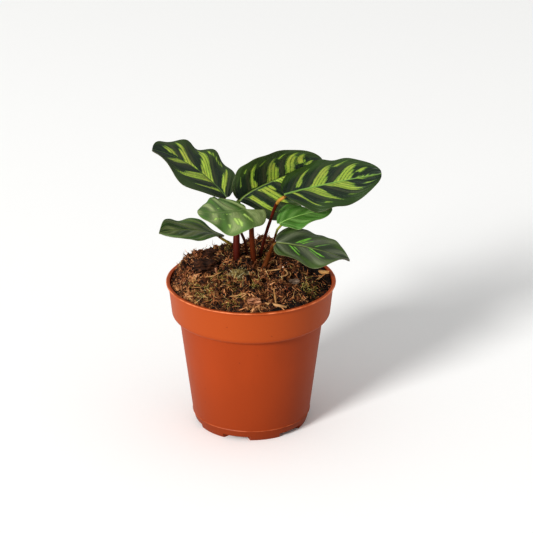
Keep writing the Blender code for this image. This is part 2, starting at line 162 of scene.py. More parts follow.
# Leaves
ROWS = 130                  # mesh rows along a blade
COLUMNS = 80                # and across it
BLADE_START = 0.003
CAD_BLADE_THICK = 0.8
STALK_TIP_RADIUS = 0.8
STALK_UNDER_BLADE = 2.0
STALK_GAP = 0.4
VEIN_POWER = 4.6            # how sharply the side veins swing towards the tip near the margin
RIPPLES = 5                 # small waves along a margin
RIPPLE_START = 0.6
RIPPLE_SHIFT = 0.35         # how far the right margin's waves lie from the left one's
CHANNEL_WIDTH = 0.7         # the hollow over the midrib
KEEL_WIDTH = 0.75           # the rib under it
KEEL_TIP = 0.15             # how deep it is at the tip
KEEL_TAPER = 0.75           # how much deeper at the stalk
ROUND_EDGE = 0.07           # share of the half width over which the blade thins to its margin
ROUND_FROM = 0.93           # share of the half width from which it thins
NARROW = 1.5                # half width under which the faces' directions come from the blade's frame
LONG_LOBE = 12              # reach of the longest lobe at a blade's foot
VEIN_SLANT = 0.8            # distance across the side veins for each millimetre along the midrib
LANE_WIDTH = 1.8            # millimetres between two side veins inside a light stripe
LANE_OVERLAP = 0.28
LANE_POINT = 3.0            # millimetres over which a lane narrows to its outer end
OUTSIDE = -4.0              # stripe depth far from any stripe
LANE_LENGTHS = 0.12         # how much the lengths of lanes vary
LATE_LANES = 0.04           # how much later than its band a lane may start
AT_MIDRIB = 0.03            # the lanes of a band that starts nearer than this all reach the midrib,
PAST_MIDRIB = -0.05         # by starting this far beyond it
TAIL_SPREAD = 0.09          # how far out from the midrib a band's tail reaches
PLEAT_WANDER = 0.22         # how far pleats swing from even places
PLEAT_FROM = 2.5            # millimetres from the midrib over which they rise
PLEAT_FADE = 0.25           # share of the half width over which they fade at the margin
SHEEN_WANDER = 0.1          # the same for the painted sheen on the plainer leaves' pleats
SHEEN_POWER = 1.3           # the higher, the narrower it is
SHEEN_FROM = 0.1
SHEEN_FADE = 0.2
SHEEN_LINE_END = 0.86            # painted sheen lines end here on the way to the margin, and fade over the share below
SHEEN_LINE_FADE = 0.25
WIDE_BAND = 0.05            # bands wider than this have a line of painted sheen along their lower side
LONG_BAND = 0.3             # and they reach over more than this share of the half width
SHEEN_LINE_BELOW = 0.04     # how far below the band its line of painted sheen lies, as a share of the blade's length
SHEEN_LINE_HALF = 0.022          # and that line's half width
PATTERN_GAP = 40.0          # keeps the noise of one leaf and of each half apart from the next
HALF_GAP = 25.0


@dataclass(frozen=True)
class Band:
    """A light stripe of lanes between side veins, placed in shares of the blade's length."""
    side: int               # 0 left, 1 right
    place: float            # where its middle leaves the midrib
    width: float
    start: float            # share of the way out to the margin
    end: float
    drift: float = 0.0      # how far its outer end lies nearer the tip
    tail: float = 0.0       # how far it reaches back along the midrib
    stagger: float = 0.6    # how much shorter its last lane towards the tip is than its first


@dataclass(frozen=True)
class Leaf:
    """One leaf: its blade follows a curve from base to tip, drawn up towards crest on the way."""
    name: str
    base: tuple
    crest: tuple
    tip: tuple
    width: float
    widest: float
    fullness: tuple
    roll: tuple
    fold: tuple
    cup: float
    lobe: tuple
    wave_left: tuple
    wave_right: tuple
    stalk: tuple
    slot: str
    veins: tuple            # lean and swing of the side veins on the left, then on the right
    pleats: float           # number of pleats from base to tip
    pleat_height: float
    bands: tuple = ()


LEAVES = (
    Leaf("upper_left", (-15.5, 11, 148), (-34.5, 25, 168), (-62.5, 25, 175.5), 40, 0.73, (0.75, 0.35),
        (-7, -4), (-5, 25), 0, (0, 0.5), (4.5, 0.9, 0.3), (-2.3, 3.4, 0.3),
        ((-3, 12.5, 100, 0.9), (-3.2, 12.5, 114, 0.9), (-6.5, 14.5, 123, 0.85), (-12.8, 14.5, 134, 0.85)),
        "leaf_striped", ((0.4, 0.45), (0.38, 0)), 8, 0.2, (
        Band(1, 0.725, 0.08, 0.08, 0.64, -0.05, 0, 0.2), Band(1, 0.56, 0.085, 0, 0.86, -0.07, 0.09, 0.4),
        Band(1, 0.285, 0.165, 0, 0.92), Band(1, 0.035, 0.07, 0.1, 0.86, -0.11, 0, 0.3),
        Band(1, 0.06, 0.2, 0.77, 0.87, 0, 0, 0), Band(0, 0.61, 0.125, 0, 0.58, -0.03, 0.02, 0.3),
        Band(0, 0.27, 0.16, 0, 0.82, 0, 0, 0.4), Band(0, 0.07, 0.05, 0.05, 0.8, -0.12))),
    Leaf("upper_middle", (-7.5, 15.5, 144), (-1, 15.5, 154), (46, 22, 167.5), 51.5, 1.1, (0.65, 0.46),
        (-80, -76), (36, -10), 3, (-1.5, 0), (4.5, 1.73, 0.28), (3.5, 2.2, -0.52),
        ((-8.8, 4, 95, 1.9), (-9, 4.2, 107, 2.3), (-9.2, 6.5, 122, 2.1), (-8.6, 12, 135, 1.5)),
        "leaf_striped", ((0.13, 0.15), (0.3, 0.2)), 8, 0.2, (
        Band(0, 0.362, 0.07, 0.04, 0.82), Band(0, 0.42, 0.03, 0.66, 0.82, 0.02),
        Band(0, 0.235, 0.02, 0.71, 0.81), Band(0, 0.163, 0.014, 0.42, 0.77),
        Band(0, 0.585, 0.095, 0, 0.87, -0.03, 0.02, 0.4), Band(0, 0.577, 0.03, 0.66, 0.84),
        Band(0, 0.748, 0.062, 0.05, 0.87, -0.07, 0.02, 0.1), Band(0, 0.81, 0.045, 0.32, 0.88, -0.09),
        Band(0, 0.87, 0.05, 0.18, 0.46), Band(1, 0.2, 0.085, 0.1, 0.82, 0, 0, 0.1),
        Band(1, 0.46, 0.13, 0.04, 0.76, -0.02, 0.05), Band(1, 0.68, 0.1, 0.02, 0.74, -0.02, 0.04),
        Band(1, 0.84, 0.05, 0.1, 0.7))),
    Leaf("upper_right", (21, -11.5, 158.7), (40, -2, 161.2), (81.5, -3.5, 169.7), 44.5, 0.88, (0.55, 0.5),
        (-10, -32), (6, 2), -11, (0, 0), (1, 3.4, -0.46), (-1.7, 2.2, -0.42),
        ((5.8, 8, 96, 1.0), (5.8, 8, 108, 1.05), (8.3, 5.5, 121, 1.0), (12.9, -0.5, 139, 1.0),
        (16.6, -6, 151, 1.1)),
        "leaf_striped", ((0.29, 0.15), (0.43, 0.25)), 8, 0.2, (
        Band(0, 0.168, 0.07, 0.15, 0.83, -0.01), Band(0, 0.425, 0.145, 0, 0.87, -0.02, 0.01),
        Band(0, 0.43, 0.024, 0.64, 0.87), Band(0, 0.68, 0.13, 0.02, 0.78, -0.065, 0.02),
        Band(0, 0.745, 0.045, 0.27, 0.6, -0.03), Band(1, 0.1, 0.042, 0.05, 0.82, -0.14),
        Band(1, 0.1, 0.05, 0.7, 0.81), Band(1, 0.325, 0.13, 0.02, 0.85, -0.03, 0.03),
        Band(1, 0.43, 0.035, 0.59, 0.74), Band(1, 0.6, 0.16, 0, 0.7, 0, 0.03),
        Band(1, 0.7, 0.035, 0.37, 0.52), Band(1, 0.86, 0.15, 0, 0.12, 0, 0, 0),
        Band(0, 0.86, 0.15, 0, 0.08, 0, 0, 0))),
    Leaf("middle_left", (-2.5, -6, 147), (-14.5, -18, 148.5), (-33, -20, 150.5), 39.5, 0.75, (0.55, 0.65),
        (14, 14), (-5, -1), -8, (12.5, 2), (2.5, 1.8, -0.26), (-1, 1.8, 0.7),
        ((1.9, 3, 94, 1.8), (1.8, 2.8, 107, 1.9), (0.4, 0.6, 131, 1.6), (0.9, -0.2, 140, 1.1)),
        "leaf_pale", ((0.1, 0.1), (0.15, 0.1)), 6, 0.2, (
        Band(0, 0.6, 0.46, 0.1, 0.145), Band(0, 0.6, 0.17, 0.33, 0.375),
        Band(0, 0.66, 0.035, 0.36, 0.58, 0.03), Band(0, 0.37, 0.032, 0.31, 0.68, -0.05),
        Band(0, 0.31, 0.028, 0.38, 0.78, -0.04), Band(0, 0.17, 0.024, 0.22, 0.74, -0.07),
        Band(0, 0.46, 0.02, 0.56, 0.74, -0.03), Band(1, 0.62, 0.2, 0.205, 0.25))),
    Leaf("lower_left", (-18, 3.5, 125), (-39.5, 4.5, 131.5), (-57.5, -9, 132), 32, 0.89, (0.5, 0.9),
        (-18, 24), (2, 6), -2, (1, 1.5), (1.5, 1.3, 0.3), (2.5, 1.9, 0.64),
        ((-8.8, 11.8, 98, 0.9), (-9, 11.5, 110, 0.95), (-12.7, 8.3, 117, 0.9)),
        "leaf_dark", ((0.42, 0.2), (0.42, 0.2)), 6, 0.3),
    Leaf("small_right", (18, -7, 137.4), (28, -3.5, 142.6), (51, -5.5, 146.8), 26.5, 0.87, (0.55, 0.5),
        (0, -13), (5, -1), -9, (1, 0), (4.5, 1, 0.02), (1.4, 1.7, 0.06),
        ((12.2, 9.4, 97, 0.8), (12.2, 9, 109.5, 0.8), (14.6, 2.5, 122, 0.7), (16.4, -2, 130.5, 0.75)),
        "leaf_young", ((0.35, 0.25), (0.35, 0.25)), 7, 0.12),
    Leaf("lower_right", (16, -6.5, 124.5), (41, -14, 125), (62, -16.5, 116.5), 34.5, 0.82, (0.5, 0.75),
        (-27, 7), (7, 1), -2, (1.5, 1), (2.9, 1.2, -0.74), (4.5, 1.3, -0.04),
        ((8.3, 0.2, 92, 1.7), (8.3, 0, 104, 1.9), (9.9, -0.3, 109, 1.5), (12.2, -2.2, 116.5, 1.2)),
        "leaf_dark", ((0.35, 0.1), (0.35, 0.1)), 6, 0.2, (
        Band(0, 0.21, 0.014, 0.1, 0.55), Band(0, 0.24, 0.012, 0.14, 0.5),
        Band(0, 0.285, 0.018, 0.08, 0.42, 0.02), Band(1, 0.14, 0.016, 0.1, 0.7, -0.02),
        Band(1, 0.195, 0.02, 0.1, 0.46, -0.01), Band(1, 0.42, 0.03, 0.02, 0.48, 0.09),
        Band(1, 0.385, 0.014, 0.16, 0.58, 0.04), Band(0, 0.46, 0.008, 0.1, 0.6))),
)


@dataclass(frozen=True)
class Chip:
    """One coarse bit bedded in the top of the mix."""
    name: str
    place: tuple
    size: tuple
    heading: float
    slope: float
    sunk: float
    slot: str


CHIPS = (
    Chip("bark_block", (-29, 4), (14, 9, 10), 15, -8, 0.35, "dark_bark"),
    Chip("bark_chunk", (2.2, -41), (8.5, 4.5, 4.5), 8, 10, 0.4, "pale_bark"),
    Chip("wood_sliver", (45.2, 5.5), (16, 3.4, 2.2), -60, 18, 0.1, "split_wood"),
    Chip("grey_stick", (27.3, -12.3), (8.5, 3, 2.6), 25, -4, 0.4, "grey_wood"),
    Chip("pale_twig", (-3.2, 8.5), (7.5, 1.8, 1.8), -52, 10, 0.3, "split_wood"),
    Chip("moss_tuft", (-7.3, -9.5), (9.5, 7, 4.5), 10, -6, 0.4, "moss"),
)

# More bits of bark and wood, in the visual model only
LOOSE_BITS = (
    Chip("shard_back", (-24, 17), (12, 5, 6), 25, -15, 0.3, "dark_bark"),
    Chip("shard_spike", (-18.5, 20), (7.5, 2.4, 2.6), 80, 68, 0.2, "dark_bark"),
    Chip("chip_orange", (-22, -2), (5, 1.4, 1.6), 100, 45, 0.2, "pale_bark"),
    Chip("chip_tan", (33, 1), (6.5, 2.2, 1.2), 160, 8, 0.2, "split_wood"),
    Chip("chip_side", (-33, -34), (5, 1.6, 1.2), 40, 12, 0.2, "split_wood"),
)

# Rootlets that lie on the mix: points of x, y and height over its surface, then radius
ROOTLETS = (
    (((14.5, -29, 1.6), (15.2, -35, 1.8), (15.6, -41, 1.6)), 0.75),
    (((12.5, -43, 0.9), (17, -44.5, 1.3), (22, -43, 0.8)), 1.15),
    (((19.5, -29, 0.8), (17.2, -34, 1.6), (15.4, -38, 1.6)), 0.5),
    (((9, -41, 0.6), (12, -43.5, 1.1), (15, -42.5, 1.0)), 0.7),
    (((10, -6, 0.8), (15, -8.5, 1.6), (21, -7, 1.4), (23, -10.5, 1.4), (19.5, -13, 1.0)), 0.55),
    (((22, -5.5, 1.2), (25, -8.5, 1.7), (24, -13, 1.2)), 0.4),
    (((-13, -33, 0.6), (-8, -35, 1.8), (-3, -37, 1.4), (-6, -39.5, 0.8)), 0.4),
    (((-12, -30, 0.6), (-9, -36, 1.6), (-2, -38.5, 0.9)), 0.35),
    (((-29, -8, 0.8), (-24, -9, 1.5), (-19, -7, 0.9)), 0.5),
    (((12.5, 3, 1.0), (15, 6, 2.4), (16.5, 1, 1.2)), 0.4),
    (((-37, -20, 0.7), (-32, -23, 1.6), (-30, -28, 0.8)), 0.35),
    (((32, -22, 0.7), (36, -19, 1.6), (35, -14, 0.8)), 0.35),
    (((-20, -28, 0.6), (-17, -24, 1.8), (-13, -25, 0.8)), 0.35),
    (((4, 30, 1.0), (7, 33, 3.0), (11, 30, 1.2)), 0.4),
)


def linear(code):
    """A screen colour such as "#c8522f" as the linear red, green and blue that a shader takes."""
    parts = [int(code[start:start + 2], 16) / 255 for start in (1, 3, 5)]
    return tuple(part / 12.92 if part <= 0.04045 else ((part + 0.055) / 1.055) ** 2.4 for part in parts)


def shade(code):
    return (*linear(code), 1.0)


def toned(colour, tones):
    """A linear colour with its red, green and blue made stronger or weaker."""
    return (*[min(1.0, part * tone) for part, tone in zip(colour, tones)], 1.0)


def feed(node, inputs):
    """Give a node its inputs: a tuple in the order of the sockets in use, or a dict by their names.

    A node or an output is linked, and anything else becomes the socket's own value.
    """
    for key, value in inputs.items() if isinstance(inputs, dict) else enumerate(inputs):
        in_use = [socket for socket in node.inputs if socket.enabled]
        socket = in_use[key] if isinstance(key, int) else next(item for item in in_use if item.name == key)
        if isinstance(value, bpy.types.Node):
            value = next(output for output in value.outputs if output.enabled)
        if isinstance(value, bpy.types.NodeSocket):
            node.id_data.links.new(value, socket)
        else:
            socket.default_value = value


def add(tree, kind, inputs=(), stops=(), **settings):
    """Add a node, named without its family, with its settings, its inputs and a ramp's stops."""
    family = next(family for family in NODE_FAMILIES if hasattr(bpy.types, family + kind))
    made = tree.nodes.new(family + kind)
    for name, value in settings.items():
        setattr(made, name, value)
    feed(made, inputs)
    for index, (position, colour) in enumerate(stops):
        ramp = made.color_ramp.elements
        element = ramp[index] if index < len(ramp) else ramp.new(position)
        element.position = position
        element.color = colour
    return made


def new_material(name):
    """An empty material, a function that adds a node to it, and its Principled shader."""
    material = bpy.data.materials.new(name)
    material.use_nodes = True
    tree = material.node_tree
    return material, partial(add, tree), tree.nodes["Principled BSDF"]


# How often each part of the leaf's pattern repeats in a millimetre
FRAYS = 1.35                # breaks along a stripe's edge
FRAY_STRETCH = 0.14         # they are long and thin, along the side veins
PATCHES = 0.12              # warmer and cooler tissue
DOTS = 0.9                  # breaks in the fine veins
CELLS = 0.85                # the net between them


def vein_threads(node, look, veins, lane, fray):
    """How much each place shows the fine side veins, which are broken into dots, and the net between them."""
    swing = node("Math", (fray, 0.5, lane), operation="MULTIPLY_ADD")
    beat = node("Math", (swing, 2 * math.pi, -0.5 * math.pi), operation="MULTIPLY_ADD")
    line = node("MapRange", (node("Math", (beat,), operation="COSINE"), 0.6, 0.95))
    dots = node("TexNoise", {"Vector": veins, "Scale": DOTS, "Detail": 1.0})
    line = node("Math", (line, node("MapRange", (dots, 0.35, 0.5, 0.35))), operation="MULTIPLY")
    net = node("TexVoronoi", {"Vector": veins, "Scale": CELLS}, feature="DISTANCE_TO_EDGE")
    net = node("Math", (node("MapRange", (net, 0.0, 0.14, 1.0, 0.0)), 0.35), operation="MULTIPLY")
    thread = node("Math", (line, net), operation="MAXIMUM")
    return node("Math", (thread, look["thread"]), operation="MULTIPLY")


def leaf_tissue(node, look, sheen, outward, striped, core, fray, patch):
    """The upper face's colours: dark and green tissue, a painted greyish sheen on the pleats, and the light
    stripes.
    """
    for texture, share in ((patch, 0.3), (fray, 0.45)):
        outward = node("Math", (texture, share, outward), operation="MULTIPLY_ADD")
    rim_green = node("MapRange", (outward, look["rim"] + 0.37, look["rim"] + 0.6),
                     interpolation_type="SMOOTHSTEP")
    ground = node("Mix", (rim_green, shade(look["dark"]), shade(look["green"])), data_type="RGBA")
    # painted sheen: a greyish tint on the pleats' crests, as strong as the look's crest and broken by the
    # fray
    broken = node("MapRange", (fray, 0.3, 0.6, 0.35 * look["crest"], look["crest"]))
    crest = node("Math", (sheen, broken), operation="MULTIPLY")
    ground = node("Mix", (crest, ground, shade(look["painted_sheen_tint"])), data_type="RGBA")
    warm = node("MapRange", (patch, 0.42, 0.62))
    light = node("Mix", (warm, shade(look["stripe"]), shade(look["stripe_warm"])), data_type="RGBA")
    light = node("Mix", (core, shade(look["stripe_edge"]), light), data_type="RGBA")
    return node("Mix", (striped, ground, light), data_type="RGBA")


def leaf_material(name, look):
    """Living calathea leaf: a satin waxy skin over green tissue, light striped where the tissue is thin.

    The eye sees a soft broad sheen, partly real shine and partly painted sheen along the pleats,
    stripes frayed along the fine side veins, and a pale midrib. Fine veins lie about 0.6 mm apart;
    only every third is drawn, so that they show.
    """
    material, node, shader = new_material(name)
    stripe, lane, sheen, margin_gap, upper = (
        node("Attribute", attribute_name=mark).outputs["Fac"]
        for mark in ("stripe", "lane", "sheen", "margin_gap", "upper"))
    veins, place = (node("Attribute", attribute_name=mark).outputs["Vector"]
                    for mark in ("vein_place", "blade_place"))
    along, outward = node("SeparateXYZ", (place,)).outputs[:2]
    from_midrib = node("SeparateXYZ", (veins,)).outputs["Y"]
    drawn_out = node("Mapping", {"Vector": veins, "Scale": (1.0, FRAY_STRETCH, 1.0)})
    fray = node("TexNoise", {"Vector": drawn_out, "Scale": FRAYS, "Detail": 4.0, "Roughness": 0.7})
    patch = node("TexNoise", {"Vector": veins, "Scale": PATCHES, "Detail": 2.0})
    edge = node("Math", (fray, look["fray"], stripe), operation="MULTIPLY_ADD")
    edge = node("Math", (edge, look["fray"] / 2 - 0.2), operation="SUBTRACT")
    striped = node("MapRange", (edge, -0.12, 0.25), interpolation_type="SMOOTHSTEP")
    core = node("MapRange", (edge, 0.1, 0.75))
    thread = vein_threads(node, look, veins, lane, fray)
    rib_width = node("Math", (along, -look["rib_width"] * 0.75, look["rib_width"]), operation="MULTIPLY_ADD")
    rib_gap = node("Math", (from_midrib, rib_width), operation="SUBTRACT")
    rib = node("MapRange", (rib_gap, -0.12, 0.16, look["rib_show"], 0.0))
    margin = node("MapRange", (margin_gap, 0.15, 0.45, 0.55, 0.0))
    face = leaf_tissue(node, look, sheen, outward, striped, core, fray, patch)
    for share, tint in ((thread, "thread_tint"), (rib, "rib"), (margin, "margin")):
        face = node("Mix", (share, face, shade(look[tint])), data_type="RGBA")
    # underside: dull grey-green with a wine flush, the stripes only faint
    flush = node("MapRange", (fray, 0.35, 0.7, 0.0, 0.8))
    faint = node("Math", (striped, 0.45), operation="MULTIPLY")
    back = shade("#56604a")
    for share, tint in ((flush, "#5a3f3c"), (faint, "#8a9160"), (rib, "#8b8a5a")):
        back = node("Mix", (share, back, shade(tint)), data_type="RGBA")
    relief = node("Math", (thread, -1.0, fray), operation="MULTIPLY_ADD")
    feed(shader, {
        "Base Color": node("Mix", (upper, back, face), data_type="RGBA"), "IOR": 1.42,
        "Roughness": node("MapRange", (patch, 0.0, 1.0, look["rough"] - 0.08, look["rough"] + 0.1)),
        "Normal": node("Bump", {"Height": relief, "Distance": 0.12 * MM, "Strength": 0.5}),
    })
    return material


def stalk_material(name, red, joint, joint_length):
    """Leaf stalk: smooth waxy skin, wine red from the mix up, with a bare yellow joint under the blade."""
    material, node, shader = new_material(name)
    reach = node("Attribute", attribute_name="reach").outputs["Fac"]
    drawn_out = node("Mapping", {"Vector": node("TexCoord").outputs["Object"], "Scale": (1.0, 1.0, 0.12)})
    # streaks along the stalk about 0.5 mm wide, drawn at 0.8 mm so that they show
    streak = node("TexNoise", {"Vector": drawn_out, "Scale": 1 / (0.8 * MM), "Detail": 3.0})
    ragged = node("Math", (streak, 0.05, reach), operation="MULTIPLY_ADD")
    colour = node("Mix", (streak, shade(red[0]), shade(red[1])), data_type="RGBA")
    layers = (
        (node("MapRange", (ragged, 1.0 - joint_length, 1.02 - joint_length)), joint),
        (node("MapRange", (ragged, 0.985, 1.0, 0.0, 0.85)), "#3c2114"),     # collar against the blade
        (node("MapRange", (reach, 0.18, 0.4, 0.55, 0.0)), "#2a0f08"),       # darker towards the foot
    )
    for share, tint in layers:
        colour = node("Mix", (share, colour, shade(tint)), data_type="RGBA")
    bump = node("Bump", {"Height": streak, "Distance": 0.15 * MM, "Strength": 0.6})
    feed(shader, {"Base Color": colour, "Roughness": 0.48, "IOR": 1.45, "Specular IOR Level": 0.15,
                  "Normal": bump})
    return material


# Marks on the pot, in millimetres
FLOW_MARK = 22.0            # broad faint streaks that the melt leaves
MOULD_GRAIN = 0.4
SPECK_GAP = 7.0
SCUFF_SIZE = 9.0
RIDGE_HIGHLIGHT_HALF = 0.3


def highlighted_and_rubbed_edges(node, place, height):
    """How pale each place is drawn, as a painted highlight with some scuffed wear: the lip's outer edge and,
    less so, the ridge near the foot.
    """
    flat = node("VectorMath", (place, (1.0, 1.0, 0.0)), operation="MULTIPLY")
    radius = node("VectorMath", (flat,), operation="LENGTH")
    on_edge = node("MapRange", (radius, (LIP_RADIUS - 0.9) * MM, (LIP_RADIUS - 0.3) * MM))
    on_top = node("MapRange", (height, (RIM_HEIGHT - 0.9) * MM, (RIM_HEIGHT - 0.4) * MM))
    on_lip = node("Math", (on_edge, on_top), operation="MULTIPLY")
    on_ridge = node("Math", (height, RIDGE_HEIGHT * MM, RIDGE_HIGHLIGHT_HALF * MM), operation="COMPARE")
    lit_and_rubbed = node("Math", (on_ridge, 0.45, on_lip), operation="MULTIPLY_ADD")
    scuff = node("TexNoise", {"Vector": place, "Scale": 1 / (SCUFF_SIZE * MM), "Detail": 4.0,
                              "Roughness": 0.7})
    return node("Math", (lit_and_rubbed, node("MapRange", (scuff, 0.38, 0.6, 0.1, 0.9))), operation="MULTIPLY")


def pot_material(colour):
    """Injection-moulded polypropylene, coloured through: an even orange-brown with a soft satin shine.

    The mould leaves a faint grain, about 0.1 mm but drawn at 0.4 mm, and cooling leaves slight flow marks.
    """
    material, node, shader = new_material("moulded_polypropylene")
    place = node("TexCoord").outputs["Object"]
    height = node("SeparateXYZ", (place,)).outputs["Z"]
    flow_way = node("Mapping", {"Vector": place, "Scale": (1.0, 1.0, 0.5)})
    flow = node("TexNoise", {"Vector": flow_way, "Scale": 1 / (FLOW_MARK * MM), "Detail": 3.0})
    low, high = toned(colour, (0.96, 0.96, 0.96)), toned(colour, (1.04, 1.04, 1.04))
    body = node("Mix", (node("MapRange", (flow, 0.35, 0.65)), low, high), data_type="RGBA")
    # painted sheen makes the band paler than the body, and painted shade darkens the lower body and more so
    # the foot
    for start, full, tones in (
            (SHOULDER_FOOT, BAND_FOOT + 2, BAND_SHEEN_TONE), (LOW_SHADE_START, RIDGE_HEIGHT, LOW_SHADE_TONE),
            (RIDGE_HEIGHT + 0.3, RIDGE_HEIGHT - 1.5, FOOT_SHADE_TONE)):
        inside = node("MapRange", (height, start * MM, full * MM))
        body = node("Mix", (inside, body, toned(colour, tones)), data_type="RGBA")
    speck = node("TexVoronoi", {"Vector": place, "Scale": 1 / (SPECK_GAP * MM), "Randomness": 1.0})
    dirt = node("MapRange", (speck, 0.035, 0.06, 0.75, 0.0))    # specks of soil under a millimetre across
    # specks of soil, then a painted highlight with some wear on the lip's edge and the ridge
    for share, tint in ((dirt, "#5a2413"), (highlighted_and_rubbed_edges(node, place, height), "#dd8358")):
        body = node("Mix", (share, body, shade(tint)), data_type="RGBA")
    grain = node("TexNoise", {"Vector": place, "Scale": 1 / (MOULD_GRAIN * MM), "Detail": 2.0})
    feed(shader, {
        "Base Color": body, "Roughness": node("MapRange", (flow, 0.0, 1.0, 0.42, 0.54)), "IOR": 1.49,
        "Specular IOR Level": 0.16,
        "Normal": node("Bump", {"Height": grain, "Distance": 0.03 * MM, "Strength": 0.5}),
    })
    return material


def earthy_material(name, colours, grain, tinted, rough=0.9, depth=0.4):
    """Loose plant matter in the mix: matt, every bit its own brown, with a fibrous broken surface."""
    material, node, shader = new_material(name)
    place = node("TexCoord").outputs["Object"]
    mottle = node("TexNoise", {"Vector": place, "Scale": 1 / (grain * MM), "Detail": 5.0, "Roughness": 0.7})
    pick = mottle.outputs[0]
    if tinted:
        tint = node("Attribute", attribute_name="tint").outputs["Fac"]
        spread = node("Math", (mottle, 0.5), operation="SUBTRACT")
        pick = node("Math", (spread, 0.8, tint), operation="MULTIPLY_ADD")
    east = node("SeparateXYZ", (place,)).outputs["X"]
    # painted shadow of the lower right leaf: darker towards the right
    leaf_shadow = node("MapRange", (east, LEAF_SHADOW_FROM * MM, LEAF_SHADOW_TO * MM, 0.0, LEAF_SHADOW_DEPTH))
    patch = node("TexNoise", {"Vector": place, "Scale": 1 / (PATCH_SIZE * MM), "Detail": 2.0})
    dark = node("Math", (patch, PATCH_DEPTH, leaf_shadow), operation="MULTIPLY_ADD")
    dark = node("Math", (dark, PATCH_DEPTH / 2), operation="SUBTRACT")
    step = 1.0 / (len(colours) - 1)
    low, high = (0.0, 1.0) if tinted else (0.3, 0.7)
    stops = [(low + (high - low) * index * step, shade(code)) for index, code in enumerate(colours)]
    ramp = node("ValToRGB", (node("Math", (pick, dark), operation="SUBTRACT"),), stops)
    bump = node("Bump", {"Height": mottle, "Distance": depth * MM, "Strength": 0.8})
    feed(shader, {"Base Color": ramp, "Roughness": rough, "Specular IOR Level": 0.3, "Normal": bump})
    return material


def bark_material(name, colours, grain_mm, stretch):
    """Chipped bark or split wood: matt, with a grain that runs along the bit."""
    material, node, shader = new_material(name)
    seat = node("Attribute", attribute_name="bit_place").outputs["Vector"]
    way = node("Mapping", {"Vector": seat, "Scale": stretch})
    grain = node("TexNoise", {"Vector": way, "Scale": 1 / grain_mm, "Detail": 5.0, "Roughness": 0.7})
    stops = [(0.32 + 0.36 * index / (len(colours) - 1), shade(code)) for index, code in enumerate(colours)]
    bump = node("Bump", {"Height": grain, "Distance": 0.35 * MM, "Strength": 0.9})
    feed(shader, {"Base Color": node("ValToRGB", (grain,), stops), "Roughness": 0.85,
                  "Specular IOR Level": 0.3, "Normal": bump})
    return material


def mesh_from_bmesh(name, form):
    mesh = bpy.data.meshes.new(name)
    form.to_mesh(mesh)
    form.free()
    return mesh


def add_object(name, data, material=None):
    made = bpy.data.objects.new(name, data)
    bpy.context.scene.collection.objects.link(made)
    if material:
        data.materials.append(material)
    return made


def plain_mesh(source, name, material):
    """The evaluated shape of source as a plain mesh object. Source and its modifiers are removed."""
    bpy.context.view_layer.update()
    evaluated = source.evaluated_get(bpy.context.evaluated_depsgraph_get())
    mesh = bpy.data.meshes.new_from_object(evaluated)
    mesh.name = name
    bpy.data.objects.remove(source, do_unlink=True)
    mesh.materials.clear()
    return add_object(name, mesh, material)


def finish_piece(piece, slot, *nodes):
    """Join a finished piece to the body and hide the solids that it stands for. The slot is not used."""
    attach(piece, BODY)
    if nodes:
        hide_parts(*nodes)
    return piece


def pot_profile():
    """Radius, height and rounding of each corner of the pot's half section, from inside over the lip."""
    lip_foot = RIM_HEIGHT - LIP_THICK
    return (
        (0, FLOOR, 0), (FOOT_RADIUS - WALL, FLOOR, 0), (RIDGE_RADIUS - WALL - 0.7, RIDGE_HEIGHT, 0),
        (SHOULDER_RADIUS - WALL, SHOULDER_FOOT + 1.0, 0), (BAND_FOOT_RADIUS - WALL, BAND_FOOT + 1.0, 0),
        (BAND_TOP_RADIUS - WALL, RIM_HEIGHT, 0.5), (LIP_RADIUS, RIM_HEIGHT, 0.45),
        (LIP_RADIUS, lip_foot, 0.55),
        (BAND_TOP_RADIUS, lip_foot - 0.2, 0.5), (BAND_FOOT_RADIUS, BAND_FOOT, 0.6),
        (BAND_FOOT_RADIUS - 0.9, BAND_FOOT - 1.2, 0), (SHOULDER_RADIUS + 0.2, SHOULDER_FOOT + 0.6, 0.5),
        (SHOULDER_RADIUS - 0.3, SHOULDER_FOOT - 1.6, 0.9), (RIDGE_RADIUS - 0.15, RIDGE_HEIGHT + 0.5, 0),
        (RIDGE_RADIUS + 0.1, RIDGE_HEIGHT, 0), (RIDGE_RADIUS - 0.6, RIDGE_HEIGHT - 0.5, 0),
        (FOOT_RADIUS + 1.0, 3.0, 1.0), (FOOT_RADIUS, 0, 0.6), (0, 0, 0),
    )


def rounded(corners):
    """The outline through the corners, with each one that has a rounding cut to a short arc of that size."""
    points = []
    for index, (radius, height, size) in enumerate(corners):
        if not size:
            points.append((radius, height))
            continue
        here = Vector((radius, height))
        before, after = ((Vector(corners[index + way][:2]) - here).normalized() * size for way in (-1, 1))
        for step in range(ARC_STEPS + 1):
            share = step / ARC_STEPS
            points.append(tuple(here + before * (1 - share) ** 2 + after * share ** 2))
    return points


def pocket_turns():
    """A turn about the pot's axis to each of its pockets."""
    angles = [FIRST_POCKET + index * 360 / POCKETS for index in range(POCKETS)]
    return [Matrix.Rotation(math.radians(angle), 4, "Z") for angle in angles]


